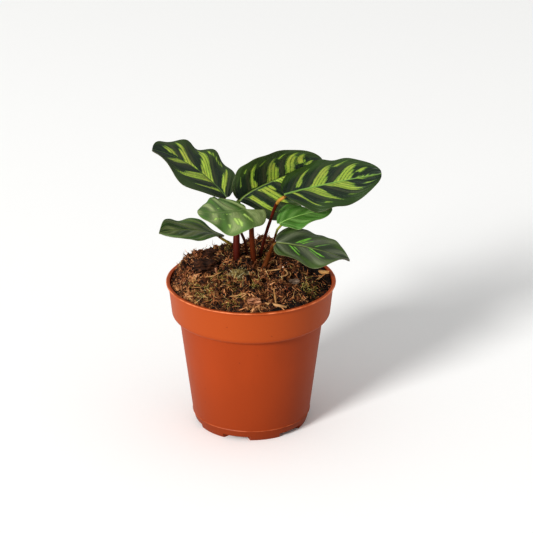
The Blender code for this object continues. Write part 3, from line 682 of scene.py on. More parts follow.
def pocket_blocks(name, grow, reach, low, high):
    """Wedges in the places of the pockets, grown by a margin, from radius POCKET_INNER to reach."""
    slant = (POCKET_HALF_OUTER - POCKET_HALF_INNER) / (FOOT_RADIUS - POCKET_INNER)
    inner = POCKET_INNER - grow
    half_inner = POCKET_HALF_INNER + grow - slant * grow
    spread = math.asin((half_inner + slant * (reach - inner)) / reach)
    angles = [step * spread / ARC_STEPS for step in range(-ARC_STEPS, ARC_STEPS + 1)]
    arc = [(reach * math.cos(angle), reach * math.sin(angle)) for angle in angles]
    outline = [(inner, -half_inner), *arc, (inner, half_inner)]
    form = bmesh.new()
    for turn in pocket_turns():
        floor = [form.verts.new(turn @ Vector((x * MM, y * MM, low * MM))) for x, y in outline]
        raised = bmesh.ops.extrude_face_region(form, geom=[form.faces.new(floor)])["geom"]
        lifted = [item for item in raised if isinstance(item, bmesh.types.BMVert)]
        bmesh.ops.translate(form, verts=lifted, vec=(0, 0, (high - low) * MM))
    bmesh.ops.recalc_face_normals(form, faces=form.faces)
    return add_object(name, mesh_from_bmesh(name, form))


def drain_holes():
    form = bmesh.new()
    for turn in pocket_turns():
        place = turn @ Matrix.Translation((DRAIN_AT * MM, 0, (POCKET_HEIGHT + POCKET_SKIN / 2) * MM))
        bmesh.ops.create_cone(form, cap_ends=True, segments=DRAIN_SIDES, radius1=DRAIN_RADIUS * MM,
                              radius2=DRAIN_RADIUS * MM, depth=3 * POCKET_SKIN * MM, matrix=place)
    return add_object("drain_holes", mesh_from_bmesh("drain_holes", form))


def turned_pot():
    """The pot's profile as a line with a Screw modifier that turns it."""
    form = bmesh.new()
    points = [form.verts.new((radius * MM, 0, height * MM)) for radius, height in rounded(pot_profile())]
    for upper, lower in zip(points, points[1:]):
        form.edges.new((upper, lower))
    pot = add_object("turning", mesh_from_bmesh("turning", form))
    screw = pot.modifiers.new("turn", "SCREW")
    screw.steps = screw.render_steps = POT_STEPS
    screw.use_merge_vertices = True
    screw.merge_threshold = WELD
    return pot


def make_pot(settings):
    """The turned pot with the six pockets pressed into its foot, a hole in each and a slightly worn lip."""
    pot = turned_pot()
    roof = POCKET_HEIGHT + POCKET_SKIN
    cutters = (
        (pocket_blocks("pads", POCKET_SKIN, FOOT_RADIUS - 0.2, FLOOR - 0.2, roof), "UNION"),
        (pocket_blocks("pockets", 0, FOOT_RADIUS + 5, -1, POCKET_HEIGHT), "DIFFERENCE"),
        (drain_holes(), "DIFFERENCE"),
    )
    for cutter, operation in cutters:
        boolean = pot.modifiers.new(operation, "BOOLEAN")
        boolean.object = cutter
        boolean.operation = operation
    shell = plain_mesh(pot, "moulded_pot", pot_material(settings.colour))
    for cutter, _ in cutters:
        bpy.data.objects.remove(cutter, do_unlink=True)
    waves, wave_height = LONG_WAVE
    for vertex in shell.data.vertices:
        if vertex.co.z > (RIM_HEIGHT - WORN_BELOW_RIM) * MM:
            wobble = noise.noise(vertex.co * waves) * wave_height
            wobble += noise.noise(vertex.co * NICKS) * settings.lip_wear
            vertex.co.z += (wobble - LIP_DROP) * MM
    shell.data.shade_smooth()
    shell.data.set_sharp_from_angle(angle=math.radians(CREASE))
    return finish_piece(shell, "terracotta_plastic", "pot")


def soil_height(x, y):
    """Height of the smooth heap: a dome with a higher back, knolls and broad lumps."""
    reach = min(1.0, math.hypot(x, y) / SOIL_RADIUS)
    heap = SOIL_EDGE + HEAP_RISE * (1 - reach ** 2) + BACK_RISE * max(y, 0.0) * (1 - reach ** 4)
    for knoll_x, knoll_y, knoll_width, knoll_rise in KNOLLS:
        away = math.hypot(x - knoll_x, y - knoll_y) / knoll_width
        heap += knoll_rise * math.exp(-away ** 2)
    lumps = sum(rise * noise.noise(Vector((x / scale, y / scale, LUMP_LAYER))) for scale, rise in LUMPS)
    return RIM_HEIGHT + heap + lumps * (1 - LUMP_FADE * reach ** 6)


def soil_relief(x, y):
    """The crumbly surface over the heap: rounded lumps and clefts, calmer beside a coarse bit."""
    spot = Vector((x, y, soil_height(x, y) * LAYER_TILT))
    rise = sum(height * (abs(noise.noise(spot / grain)) * RELIEF_STEEPNESS - RELIEF_SINK)
               for grain, height in RELIEF)
    ragged = 1 + CLOD_RAGGED * noise.noise(spot / CLOD_GRAIN)
    for clod_x, clod_y, radius, height in CLODS:
        away = math.hypot(x - clod_x, y - clod_y) * ragged / radius
        rise += height * math.sqrt(max(0.0, 1 - away ** 2))
    calm = on_chip(x, y)
    reach = min(1.0, math.hypot(x, y) / SOIL_RADIUS)
    calmed = rise * (1 - CHIP_CALM * calm) - CHIP_BED * calm
    return calmed * (1 - RELIEF_FADE * reach ** 8) + SOIL_EDGE_RISE * reach ** 10


def on_chip(x, y):
    """How near the place is to the length of a coarse bit: 1 on it, 0 a few millimetres away."""
    nearest = math.inf
    for chip in CHIPS:
        turn = math.radians(chip.heading)
        dx, dy = x - chip.place[0], y - chip.place[1]
        along = abs(dx * math.cos(turn) + dy * math.sin(turn)) - chip.size[0] / 2
        aside = abs(dy * math.cos(turn) - dx * math.sin(turn)) - chip.size[1] / 2
        nearest = min(nearest, math.hypot(max(along, 0.0), max(aside, 0.0)))
    return max(0.0, 1 - nearest / CALM_BESIDE_CHIP)


def in_patch(x, y, patches):
    """How far inside the nearest patch a place lies, from 0 to 1."""
    return max(max(0.0, 1 - math.hypot(x - px, y - py) / radius) for px, py, radius in patches)


def soil_ring(radius):
    """Points round the pot's axis, as x and y."""
    turns = [2 * math.pi * step / SOIL_STEPS for step in range(SOIL_STEPS)]
    return [(radius * math.cos(turn), radius * math.sin(turn)) for turn in turns]


def ring_faces(rings, first):
    """Quads between rings of points that follow one another from point number first."""
    return [(start + step, start + SOIL_STEPS + step, start + SOIL_STEPS + after, start + after)
            for start in range(first, first + (rings - 1) * SOIL_STEPS, SOIL_STEPS)
            for step, after in ((step, (step + 1) % SOIL_STEPS) for step in range(SOIL_STEPS))]


def make_mix(settings):
    """The heaped mix, filling the pot, with its crumbly top as a fine mesh."""
    top = [(0.0, 0.0)]
    for ring in range(1, SOIL_RINGS + 1):
        top += soil_ring(SOIL_RADIUS * ring / SOIL_RINGS)
    verts = [(x * MM, y * MM, (soil_height(x, y) + soil_relief(x, y)) * MM) for x, y in top]
    faces = [(0, 1 + step, 1 + (step + 1) % SOIL_STEPS) for step in range(SOIL_STEPS)]
    side = (
        (BAND_FOOT_RADIUS - WALL - 0.3, BAND_FOOT + 1.3), (SHOULDER_RADIUS - WALL - 0.3, SHOULDER_FOOT + 1.1),
        (RIDGE_RADIUS - WALL - 1.0, RIDGE_HEIGHT), (FOOT_RADIUS - WALL - 0.5, 4.6),
    )
    for radius, height in side:
        verts += [(x * MM, y * MM, height * MM) for x, y in soil_ring(radius)]
    faces += ring_faces(SOIL_RINGS + len(side), 1)
    faces.append(tuple(range(len(verts) - 1, len(verts) - 1 - SOIL_STEPS, -1)))
    mesh = bpy.data.meshes.new("heaped_mix")
    mesh.from_pydata(verts, [], faces)
    mesh.shade_smooth()
    skin = earthy_material("peat_and_bark", HEAP_COLOURS, settings.grain, False)
    return finish_piece(add_object("heaped_mix", mesh, skin), "potting_mix", "potting_mix")


def scatter_source(name):
    """A coarser sheet over the heap that the litter grows on, marked with how much lies where."""
    form = bmesh.new()
    bmesh.ops.create_grid(form, x_segments=SHEET_CUTS, y_segments=SHEET_CUTS, size=SHEET_RADIUS)
    outside = [vertex for vertex in form.verts if vertex.co.xy.length > SHEET_RADIUS]
    bmesh.ops.delete(form, geom=outside, context="VERTS")
    even, moss, red, tuft = [form.verts.layers.float.new(patch) for patch in ("even", "moss", "red", "tuft")]
    for vertex in form.verts:
        x, y = vertex.co.xy
        bare = 1.0 - min(1.0, 1.5 * on_chip(x, y))
        vertex[even] = bare
        vertex[moss] = bare * min(1.0, 1.6 * in_patch(x, y, MOSS_PATCHES))
        vertex[red] = bare * min(1.0, 1.6 * in_patch(x, y, RED_PATCHES))
        vertex[tuft] = float(in_patch(x, y, TUFT_PATCH) > 0)
        vertex.co = Vector((x, y, soil_height(x, y) + soil_relief(x, y))) * MM
    return add_object(name, mesh_from_bmesh(name, form))


def new_geometry_tree(name, sockets):
    """A Geometry Nodes tree with inputs of the given kinds and defaults, its node adder and its inputs."""
    tree = bpy.data.node_groups.new(name, "GeometryNodeTree")
    tree.interface.new_socket("Geometry", in_out="OUTPUT", socket_type="NodeSocketGeometry")
    for label, kind, default in (("Geometry", "Geometry", None), ("Material", "Material", None), *sockets):
        socket = tree.interface.new_socket(label, in_out="INPUT", socket_type=f"NodeSocket{kind}")
        if default is not None:
            socket.default_value = default
    node = partial(add, tree)
    return tree, node, node("GroupInput").outputs


def close_tree(node, given, geometry):
    """Make a tree's copies real, give them its material and pass them out."""
    whole = node("RealizeInstances", {"Geometry": geometry})
    node("GroupOutput", (node("SetMaterial", {"Geometry": whole, "Material": given["Material"]}),))


def grow(source, tree, values, name, material):
    """Run a Geometry Nodes tree on source with the named values, and keep the result as a plain mesh."""
    modifier = source.modifiers.new(tree.name, "NODES")
    modifier.node_group = tree
    for item in tree.interface.items_tree:
        if item.item_type == "SOCKET" and item.in_out == "INPUT" and item.name in values:
            modifier[item.identifier] = values[item.name]
    return plain_mesh(source, name, material)


def strewn_points(node, given, patch, count):
    """Random points on the sheet, as dense as its share of the patch says."""
    share = node("InputNamedAttribute", {"Name": patch}, data_type="FLOAT")
    density = node("Math", (share, given[count]), operation="MULTIPLY")
    return node("DistributePointsOnFaces", {"Mesh": given["Geometry"], "Density": density,
                                            "Seed": given["Seed"]})


def tinted(node, copies, seed):
    """Give each copy its own tint from 0 to 1, and make the copies real."""
    tint = node("RandomValue", {"Min": 0.0, "Max": 1.0, "Seed": seed}, data_type="FLOAT")
    marked = node("StoreNamedAttribute", {"Geometry": copies, "Name": "tint", "Value": tint},
                  data_type="FLOAT", domain="INSTANCE")
    return node("RealizeInstances", {"Geometry": marked})


def kept_inside(node, geometry):
    """Draw every point that lies beyond the pot's inner wall straight back to it."""
    here = node("InputPosition")
    flat = node("VectorMath", (here, (1.0, 1.0, 0.0)), operation="MULTIPLY")
    away = node("VectorMath", (flat,), operation="LENGTH")
    share = node("Math", (LITTER_RADIUS * MM, away), operation="DIVIDE")
    share = node("Math", (share, 1.0), operation="MINIMUM")
    drawn = node("VectorMath", (here, node("CombineXYZ", (share, share, 1.0))), operation="MULTIPLY")
    return node("SetPosition", {"Geometry": geometry, "Position": drawn})


def strand_curl(node, given, along):
    """How far each point of a strand is pushed off its line: further to the end, and less up and down."""
    own = node("InputNamedAttribute", {"Name": "tint"}, data_type="FLOAT")
    own_noise = node("Math", (own, CURL_CHANGE), operation="MULTIPLY")
    drift = node("TexNoise", {"Vector": node("InputPosition"), "W": own_noise, "Scale": CURLS, "Detail": 1.0},
                 noise_dimensions="4D")
    centred = node("VectorMath", (drift.outputs["Color"], CURL_MIDDLE), operation="SUBTRACT")
    centred = node("VectorMath", (centred, (1.0, 1.0, CURL_FLATNESS)), operation="MULTIPLY")
    amount = node("Math", (along, given["Curl"]), operation="MULTIPLY")
    return node("VectorMath", (centred, amount), operation="SCALE")


def strand_tree():
    """Curled strands that lie on a surface, each its own shape, thinning to the end."""
    tree, node, given = new_geometry_tree("strands", (
        ("Patch", "String", "even"), ("Strands", "Float", 100000.0), ("Length", "Float", 0.005),
        ("Radius", "Float", 0.0002), ("Curl", "Float", 0.002), ("Lift", "Float", 0.3), ("Sides", "Int", 3),
        ("Seed", "Int", 1)))
    roots = strewn_points(node, given, given["Patch"], "Strands")
    low = node("CombineXYZ", {"Y": node("Math", (given["Lift"], -1.0), operation="MULTIPLY")})
    high = node("CombineXYZ", {"Y": STRAND_TILT, "Z": 2 * math.pi})
    spin = node("RandomValue", {"Min": low, "Max": high, "Seed": given["Seed"]}, data_type="FLOAT_VECTOR")
    turn = node("EulerToRotation", (spin,))
    aim = node("RotateRotation", (roots.outputs["Rotation"], turn), rotation_space="LOCAL")
    line = node("CurvePrimitiveLine", {"Start": (0, 0, 0), "End": (1, 0, 0)})
    fine = node("ResampleCurve", {"Curve": line, "Count": STRAND_POINTS})
    shortest, longest = STRAND_LENGTHS
    reach = node("RandomValue", {"Min": shortest, "Max": longest, "Seed": given["Seed"]}, data_type="FLOAT")
    size = node("Math", (reach, given["Length"]), operation="MULTIPLY")
    laid = node("InstanceOnPoints", {"Points": roots.outputs["Points"], "Instance": fine, "Rotation": aim,
                                     "Scale": size})
    along = node("SplineParameter").outputs["Factor"]
    bent = node("SetPosition", {"Geometry": tinted(node, laid, 7), "Offset": strand_curl(node, given, along)})
    thin = node("MapRange", (along, THIN_FROM, 1.0, 1.0, STRAND_TIP))
    radius = node("Math", (thin, given["Radius"]), operation="MULTIPLY")
    ring = node("CurvePrimitiveCircle", {"Resolution": given["Sides"], "Radius": 1.0})
    tube = node("CurveToMesh", {"Curve": bent, "Profile Curve": ring, "Scale": radius, "Fill Caps": True})
    close_tree(node, given, node("SetShadeSmooth", (kept_inside(node, tube),)))
    return tree


def crumb_tree():
    """Rough crumbs strewn on a surface: small balls knocked out of shape, most of them small."""
    tree, node, given = new_geometry_tree("crumbs", (
        ("Crumbs", "Float", 100000.0), ("Size", "Float", 0.0008), ("Cuts", "Int", 1), ("Seed", "Int", 1)))
    spots = strewn_points(node, given, "even", "Crumbs")
    ball = node("MeshIcoSphere", {"Radius": 1.0, "Subdivisions": given["Cuts"]})
    spin = node("RandomValue", {"Min": (0, 0, 0), "Max": ANY_TURN, "Seed": given["Seed"]},
                data_type="FLOAT_VECTOR")
    flattest, fullest = CRUMB_SHAPES
    shape = node("RandomValue", {"Min": flattest, "Max": fullest, "Seed": 3}, data_type="FLOAT_VECTOR")
    draw = node("RandomValue", {"Min": 0.0, "Max": 1.0, "Seed": 5}, data_type="FLOAT")
    draw = node("Math", (draw, FEW_LARGE), operation="POWER")
    factor = node("Math", (draw, *CRUMB_SIZES), operation="MULTIPLY_ADD")
    size = node("Math", (factor, given["Size"]), operation="MULTIPLY")
    scale = node("VectorMath", (shape, size), operation="SCALE")
    laid = node("InstanceOnPoints", {"Points": spots.outputs["Points"], "Instance": ball.outputs["Mesh"],
                                     "Rotation": spin, "Scale": scale})
    loose = tinted(node, laid, 9)
    bumps = node("TexNoise", {"Vector": node("InputPosition"), "Scale": BUMPS, "Detail": 1.0})
    centred = node("VectorMath", (bumps.outputs["Color"], (0.5, 0.5, 0.5)), operation="SUBTRACT")
    push = node("Math", (given["Size"], CRUMB_KNOCK), operation="MULTIPLY")
    offset = node("VectorMath", (centred, push), operation="SCALE")
    close_tree(node, given, kept_inside(node, node("SetPosition", {"Geometry": loose, "Offset": offset})))
    return tree


def stalk_tree():
    """A stalk along its curve, round with faint flutes, marked from 0 at its foot to 1 at the blade."""
    tree, node, given = new_geometry_tree("stalk", (
        ("Step", "Float", 0.0008), ("Sides", "Int", 20), ("Flute", "Float", 0.0001)))
    even = node("ResampleCurve", {"Curve": given["Geometry"], "Length": given["Step"]}, mode="LENGTH")
    along = node("SplineParameter").outputs["Factor"]
    marked = node("StoreNamedAttribute", {"Geometry": even, "Name": "reach", "Value": along},
                  data_type="FLOAT", domain="POINT")
    ring = node("CurvePrimitiveCircle", {"Resolution": given["Sides"], "Radius": 1.0 * MM})
    tube = node("CurveToMesh", {"Curve": marked, "Profile Curve": ring, "Scale": node("InputRadius"),
                                "Fill Caps": True})
    stretched = node("VectorMath", (node("InputPosition"), (1.0, 1.0, 0.08)), operation="MULTIPLY")
    flutes = node("TexNoise", {"Vector": stretched, "Scale": BUMPS, "Detail": 1.0})
    depth = node("Math", (flutes, 0.5), operation="SUBTRACT")
    depth = node("Math", (depth, given["Flute"]), operation="MULTIPLY")
    offset = node("VectorMath", (node("InputNormal"), depth), operation="SCALE")
    fluted = node("SetPosition", {"Geometry": tube, "Offset": offset})
    close_tree(node, given, node("SetShadeSmooth", (fluted,)))
    return tree


def mixed(pair, along):
    return pair[0] + (pair[1] - pair[0]) * along


def by_side(across, pair):
    """The first value on a blade's left half and the second on its right."""
    return np.where(across < 0, pair[0], pair[1])


def unit(vectors):
    return vectors / np.maximum(np.linalg.norm(vectors, axis=-1, keepdims=True), 1e-12)


def blade_frame(leaf, along):
    """Place on the midrib, direction to the tip, direction to the right half, and upper side."""
    base, crest, tip = (np.array(point, float) for point in (leaf.base, leaf.crest, leaf.tip))
    along = along[..., None]
    place = (1 - along) ** 2 * base + 2 * along * (1 - along) * crest + along ** 2 * tip
    forward = unit((1 - along) * (crest - base) + along * (tip - crest))
    level = unit(np.cross(forward, (0.0, 0.0, 1.0)))
    above = np.cross(level, forward)
    roll = np.radians(mixed(leaf.roll, along))
    right = np.cos(roll) * level + np.sin(roll) * above
    return place, forward, right, np.cos(roll) * above - np.sin(roll) * level


def blade_half_width(leaf, along):
    swell = np.sin(np.pi * np.minimum(1.0, BLADE_START + (1 - BLADE_START) * along) ** leaf.widest)
    return leaf.width / 2 * np.maximum(swell, 1e-9) ** mixed(leaf.fullness, along)


def blade_sheet(leaf, along, across):
    """The blade's middle sheet; across runs from -1 at the left margin to 1 at the right."""
    place, forward, right, upper = blade_frame(leaf, along)
    outward = np.abs(across)
    half = blade_half_width(leaf, along) * outward
    rise = np.radians(by_side(across, leaf.fold) + leaf.cup * outward / 2)
    ripple = np.sqrt(np.maximum(0.0, np.sin(np.pi * along)))
    waves = [height * np.sin(2 * np.pi * (count * along + phase)) * ripple
             for height, count, phase in (leaf.wave_left, leaf.wave_right)]
    lift = half * np.sin(rise) + by_side(across, waves) * outward ** 2
    back = by_side(across, leaf.lobe) * outward ** 1.5 * (1 - along) ** 5
    sideways = np.copysign(half * np.cos(rise), across)
    return place + right * sideways[..., None] + upper * lift[..., None] - forward * back[..., None]


def margin_ripple(leaf, along, across, height):
    """Small waves along both margins, on top of the large ones that the blade is shaped with."""
    right, upper = blade_frame(leaf, along)[2:]
    turn = 2 * np.pi * (RIPPLES * along + RIPPLE_START + RIPPLE_SHIFT * (across > 0))
    wave = height * np.sin(turn) * np.abs(across) ** 4 * np.sin(np.pi * along) ** 0.5
    return right * (wave * np.sign(across))[..., None] + 0.5 * upper * wave[..., None]


def vein_line(leaf, along, across):
    """Where the side vein through a place leaves the midrib, as a share of the blade's length."""
    outward = np.abs(across)
    (left_lean, left_swing), (right_lean, right_swing) = leaf.veins
    lean, swing = by_side(across, (left_lean, right_lean)), by_side(across, (left_swing, right_swing))
    return along - lean * outward - swing * outward ** VEIN_POWER


def band_edge(band, outward):
    """The lower edge of a band, as a share of the blade's length."""
    return band.place - band.width / 2 + band.drift * ((outward - band.start) / (band.end - band.start))


def lane_depth(leaf, band, index, lanes, origin, outward, half, length):
    """Millimetres inside one lane of a band, and how many lanes across the band each place lies."""
    draw = random.Random(f"{leaf.name}{band.place}{index}")
    count = (origin - band_edge(band, outward)) / band.width * lanes
    across_mm = band.width * length * VEIN_SLANT / lanes
    shorter = band.stagger * index / max(1, lanes - 1) + draw.uniform(0, LANE_LENGTHS)
    to_end = (band.end - (band.end - band.start) * shorter - outward) * half
    late = draw.uniform(0, LATE_LANES) if band.start > AT_MIDRIB else PAST_MIDRIB
    from_start = (outward - band.start - late) * half
    lower = count - index
    if index == 0:
        lower = lower + band.tail * length * VEIN_SLANT / across_mm * np.exp(-(outward / TAIL_SPREAD) ** 2)
    side = np.minimum(lower, index + 1 - count) * across_mm + LANE_OVERLAP
    pointed = side - across_mm / 2 * np.clip(1 - to_end / LANE_POINT, 0, 1)
    return np.minimum(np.minimum(pointed, to_end), from_start), count


def stripe_depth(leaf, origin, across, half, length):
    """Millimetres inside the nearest light stripe, negative outside it, and lanes counted across it."""
    depth = np.full(origin.shape, OUTSIDE)
    lane = np.full(origin.shape, 0.5)
    for band in leaf.bands:
        lanes = max(1, round(band.width * length * VEIN_SLANT / LANE_WIDTH))
        for index in range(lanes):
            inside, count = lane_depth(leaf, band, index, lanes, origin, np.abs(across), half, length)
            nearest = ((across >= 0) == bool(band.side)) & (inside > depth)
            depth = np.where(nearest, inside, depth)
            lane = np.where(nearest, count, lane)
    return depth, lane


def painted_lobe_sheen(leaf, along, across):
    """How much painted sheen a long lobe at the blade's foot gets, more the further out in it a place lies.
    """
    lobe = np.clip(by_side(across, leaf.lobe) / LONG_LOBE, 0, 1)
    return lobe ** 3 * np.abs(across) ** 0.7 * (1 - along) ** 5


def painted_sheen_lines(leaf, origin, along, across):
    """Painted sheen as on the pleats' crests: a line below each wide band, or even ones on the plainer leaves
    and more on their long lobes.
    """
    outward = np.abs(across)
    off_midrib = np.clip(outward / SHEEN_FROM, 0, 1)
    if leaf.slot != "leaf_striped":
        turn = leaf.pleats / 2 * origin + SHEEN_WANDER * np.sin(7 * origin + 2 * outward)
        broad = off_midrib * np.clip((1 - outward) / SHEEN_FADE, 0, 1)
        pleats = (0.5 + 0.5 * np.cos(2 * np.pi * turn)) ** SHEEN_POWER * broad
        return np.clip(pleats + painted_lobe_sheen(leaf, along, across), 0, 1)
    sheen_line = np.zeros(origin.shape)
    for band in leaf.bands:
        if band.width > WIDE_BAND and band.end - band.start > LONG_BAND:
            away = (origin - (band_edge(band, outward) - SHEEN_LINE_BELOW)) / SHEEN_LINE_HALF
            sheen_line = np.maximum(sheen_line, np.exp(-away ** 2) * ((across >= 0) == bool(band.side)))
    return sheen_line * (off_midrib * np.clip((SHEEN_LINE_END - outward) / SHEEN_LINE_FADE, 0, 1))


def blade_grid():
    """Rows along a blade, closer at its ends, by columns across it, closer at midrib and margins."""
    rows = np.linspace(0, 1, ROWS + 1)
    along = 0.55 * (0.5 - 0.5 * np.cos(np.pi * rows)) + 0.45 * rows
    columns = np.linspace(-1, 1, COLUMNS + 1)
    across = columns - 0.6 * np.sin(2 * np.pi * columns) / (2 * np.pi)
    return np.broadcast_arrays(along[:, None], across[None, :])


def blade_normals(leaf, along, half, middle):
    """Directions off the upper face, taken from the frame where the blade is too narrow to measure them."""
    normal = unit(np.cross(np.gradient(middle, axis=1), np.gradient(middle, axis=0)))
    upper = blade_frame(leaf, along)[3]
    normal = np.where((normal * upper).sum(-1, keepdims=True) < 0, -normal, normal)
    ends = np.clip(half / NARROW, 0, 1)[..., None]
    return unit(normal * ends + upper * (1 - ends))


def blade_relief(leaf, settings, along, outward, gap, origin):
    """The height of pleats and channel, half the thickness, and the depth of the keel under the midrib."""
    pleat = np.cos(2 * np.pi * (leaf.pleats * origin + PLEAT_WANDER * np.sin(9 * origin + 3 * outward)))
    window = np.clip(gap / PLEAT_FROM, 0, 1) * np.clip((1 - outward) / PLEAT_FADE, 0, 1) ** 0.7
    relief = settings.pleat_scale * leaf.pleat_height * pleat * window
    relief = relief - settings.channel_depth * np.exp(-(gap / CHANNEL_WIDTH) ** 2)
    round_edge = np.sqrt(np.clip(1 - ((outward - ROUND_FROM) / ROUND_EDGE).clip(0, 1) ** 2, 0, 1))
    keel = (KEEL_TAPER * (1 - along) + KEEL_TIP) * np.exp(-(gap / KEEL_WIDTH) ** 2)
    return relief, settings.blade_thick / 2 * round_edge, keel


def two_faced_mesh(name, middle, top, bottom):
    """A closed mesh whose two faces meet in the sheet's edge, and which grid points have a lower twin."""
    inner = np.zeros(middle.shape[:2], bool)
    inner[1:-1, 1:-1] = True
    upper_number = np.arange(inner.size).reshape(inner.shape)
    lower_number = np.where(inner, inner.size + np.cumsum(inner).reshape(inner.shape) - 1, upper_number)
    quads = []
    for number, order in ((upper_number, (0, 1, 2, 3)), (lower_number, (3, 2, 1, 0))):
        corners = (number[:-1, :-1], number[1:, :-1], number[1:, 1:], number[:-1, 1:])
        quads.append(np.stack([corners[index] for index in order], -1).reshape(-1, 4))
    points = np.concatenate([np.where(inner[..., None], top, middle).reshape(-1, 3), bottom[inner]]) * MM
    mesh = bpy.data.meshes.new(name)
    mesh.from_pydata(points.tolist(), [], np.concatenate(quads).tolist())
    return mesh, inner


def mark_points(mesh, name, kind, field, *values):
    """Store values on a mesh's points. A leaf's are in two parts, the upper face first."""
    layer = mesh.attributes.new(name, kind, "POINT")
    layer.data.foreach_set(field, np.concatenate([part.ravel() for part in values]).astype(np.float32))


def mark_blade(mesh, leaf, inner, along, across, origin, half):
    """Store what the leaf's material reads: its stripes, sheen, side, and places along veins and blade."""
    outward = np.abs(across)
    midrib = blade_sheet(leaf, along[:, :1], np.zeros((ROWS + 1, 1)))[:, 0]
    length = np.linalg.norm(np.diff(midrib, axis=0), axis=1).sum()
    stripe, lane = stripe_depth(leaf, origin, across, half, length)
    marks = {"stripe": stripe, "lane": lane, "sheen": painted_sheen_lines(leaf, origin, along, across),
             "margin_gap": (1 - outward) * half}
    for name, values in marks.items():
        mark_points(mesh, name, "FLOAT", "value", values, values[inner])
    mark_points(mesh, "upper", "FLOAT", "value", np.where(inner, 1.0, 0.5), np.zeros(inner.sum()))
    along_veins = origin * length + PATTERN_GAP * LEAVES.index(leaf)
    places = {"vein_place": np.stack([along_veins, outward * half, by_side(across, (0.0, HALF_GAP))], -1),
              "blade_place": np.stack([along, outward, np.zeros(along.shape)], -1)}
    for name, values in places.items():
        mark_points(mesh, name, "FLOAT_VECTOR", "vector", values, values[inner])


def make_blade(leaf, settings, material):
    """Both faces of the blade on one fine grid, joined at the margins, with pleats, channel and keel."""
    along, across = blade_grid()
    outward, half = np.abs(across), blade_half_width(leaf, along)
    origin = vein_line(leaf, along, across)
    middle = blade_sheet(leaf, along, across) + margin_ripple(leaf, along, across, settings.ripple)
    normal = blade_normals(leaf, along, half, middle)
    relief, thick, keel = blade_relief(leaf, settings, along, outward, outward * half, origin)
    mesh, inner = two_faced_mesh(f"leaf_{leaf.name}", middle, middle + normal * (relief + thick)[..., None],
                                 middle + normal * (relief - thick - keel)[..., None])
    mark_blade(mesh, leaf, inner, along, across, origin, half)
    form = bmesh.new()
    form.from_mesh(mesh)
    bmesh.ops.remove_doubles(form, verts=form.verts, dist=WELD)
    bmesh.ops.recalc_face_normals(form, faces=form.faces)
    form.to_mesh(mesh)
    form.free()
    mesh.shade_smooth()
    return finish_piece(add_object(mesh.name, mesh, material), leaf.slot, f"blade_{leaf.name}")


# Each kind of leaf: its colours, then how strong, wide or frayed each mark is; crest is how strong the
# painted sheen on the pleats is, and its tint is given beside it
LOOKS = {
    "leaf_striped": dict(
        dark="#15221a", green="#30471c", stripe="#9cb444", stripe_warm="#a5ae48", stripe_edge="#5f8430",
        painted_sheen_tint="#555339", thread_tint="#2a401c", rib="#749745", margin="#4a4529", rim=0.55, fray=3.2,
        crest=0.62, thread=0.85, rib_width=0.85, rib_show=0.9, rough=0.4),
    "leaf_pale": dict(
        dark="#4a662f", green="#4b6c2e", stripe="#bcd878", stripe_warm="#b8ce78", stripe_edge="#7d9f4c",
        painted_sheen_tint="#98a470", thread_tint="#45632f", rib="#8fa066", margin="#8a8f58", rim=0.45, fray=1.8,
        crest=1.0, thread=0.22, rib_width=0.5, rib_show=0.4, rough=0.42),
    "leaf_dark": dict(
        dark="#30431e", green="#3d5c25", stripe="#86c84c", stripe_warm="#96d858", stripe_edge="#4f7a32",
        painted_sheen_tint="#7a8254", thread_tint="#2f4022", rib="#7f8d50", margin="#6a6a46", rim=0.5, fray=1.5,
        crest=0.8, thread=0.25, rib_width=0.6, rib_show=0.7, rough=0.4),
    "leaf_young": dict(
        dark="#436b2a", green="#4c7832", stripe="#8cbf58", stripe_warm="#8cbf58", stripe_edge="#7aaa4e",
        painted_sheen_tint="#7ea25e", thread_tint="#3d602a", rib="#90b464", margin="#7a8a50", rim=0.5, fray=0.8,
        crest=0.6, thread=0.25, rib_width=0.65, rib_show=0.85, rough=0.4),
}

# Some leaves differ a little from the others of their kind
OWN_LOOKS = {
    "upper_left": dict(LOOKS["leaf_striped"], green="#32421f", rib="#4c6430", rib_width=0.6),
    "upper_middle": dict(LOOKS["leaf_striped"], green="#394a24", rib="#6f8638", rib_width=0.75),
    "lower_right": dict(LOOKS["leaf_dark"], dark="#34402a", green="#425629", stripe_edge="#46692f",
                        crest=0.74, painted_sheen_tint="#787e66", fray=2.6),
    "upper_right": dict(LOOKS["leaf_striped"], dark="#132018", green="#2d4219", stripe="#8da43e",
                        stripe_warm="#95a143", stripe_edge="#587c2d", painted_sheen_tint="#4d4c36"),
}

# Two reds of each stalk, the colour of its joint and the share of its length that the joint takes
STALK_LOOKS = {
    "upper_left": (("#45200e", "#63331a"), "#8a6a30", 0.09),
    "upper_middle": (("#3c0b03", "#5a1b0c"), "#4d5a2a", 0.08),
    "upper_right": (("#3f1106", "#581e0f"), "#ab8038", 0.16),
    "middle_left": (("#380e04", "#6a3212"), "#b8792e", 0.1),
    "lower_left": (("#40100a", "#5c2a14"), "#93812f", 0.36),
    "small_right": (("#4a200f", "#643818"), "#7f8230", 0.26),
    "lower_right": (("#4c240d", "#6b3d1b"), "#7d5a2a", 0.1),
}

STALK_STEP = 0.8
STALK_SIDES = 20
STALK_BEND = 1.5            # how far before the blade's foot a stalk starts to bend
BEND_DROP = 0.6             # how much lower it is there
TIP_RISE = 0.45             # how far its tip is pressed towards the blade


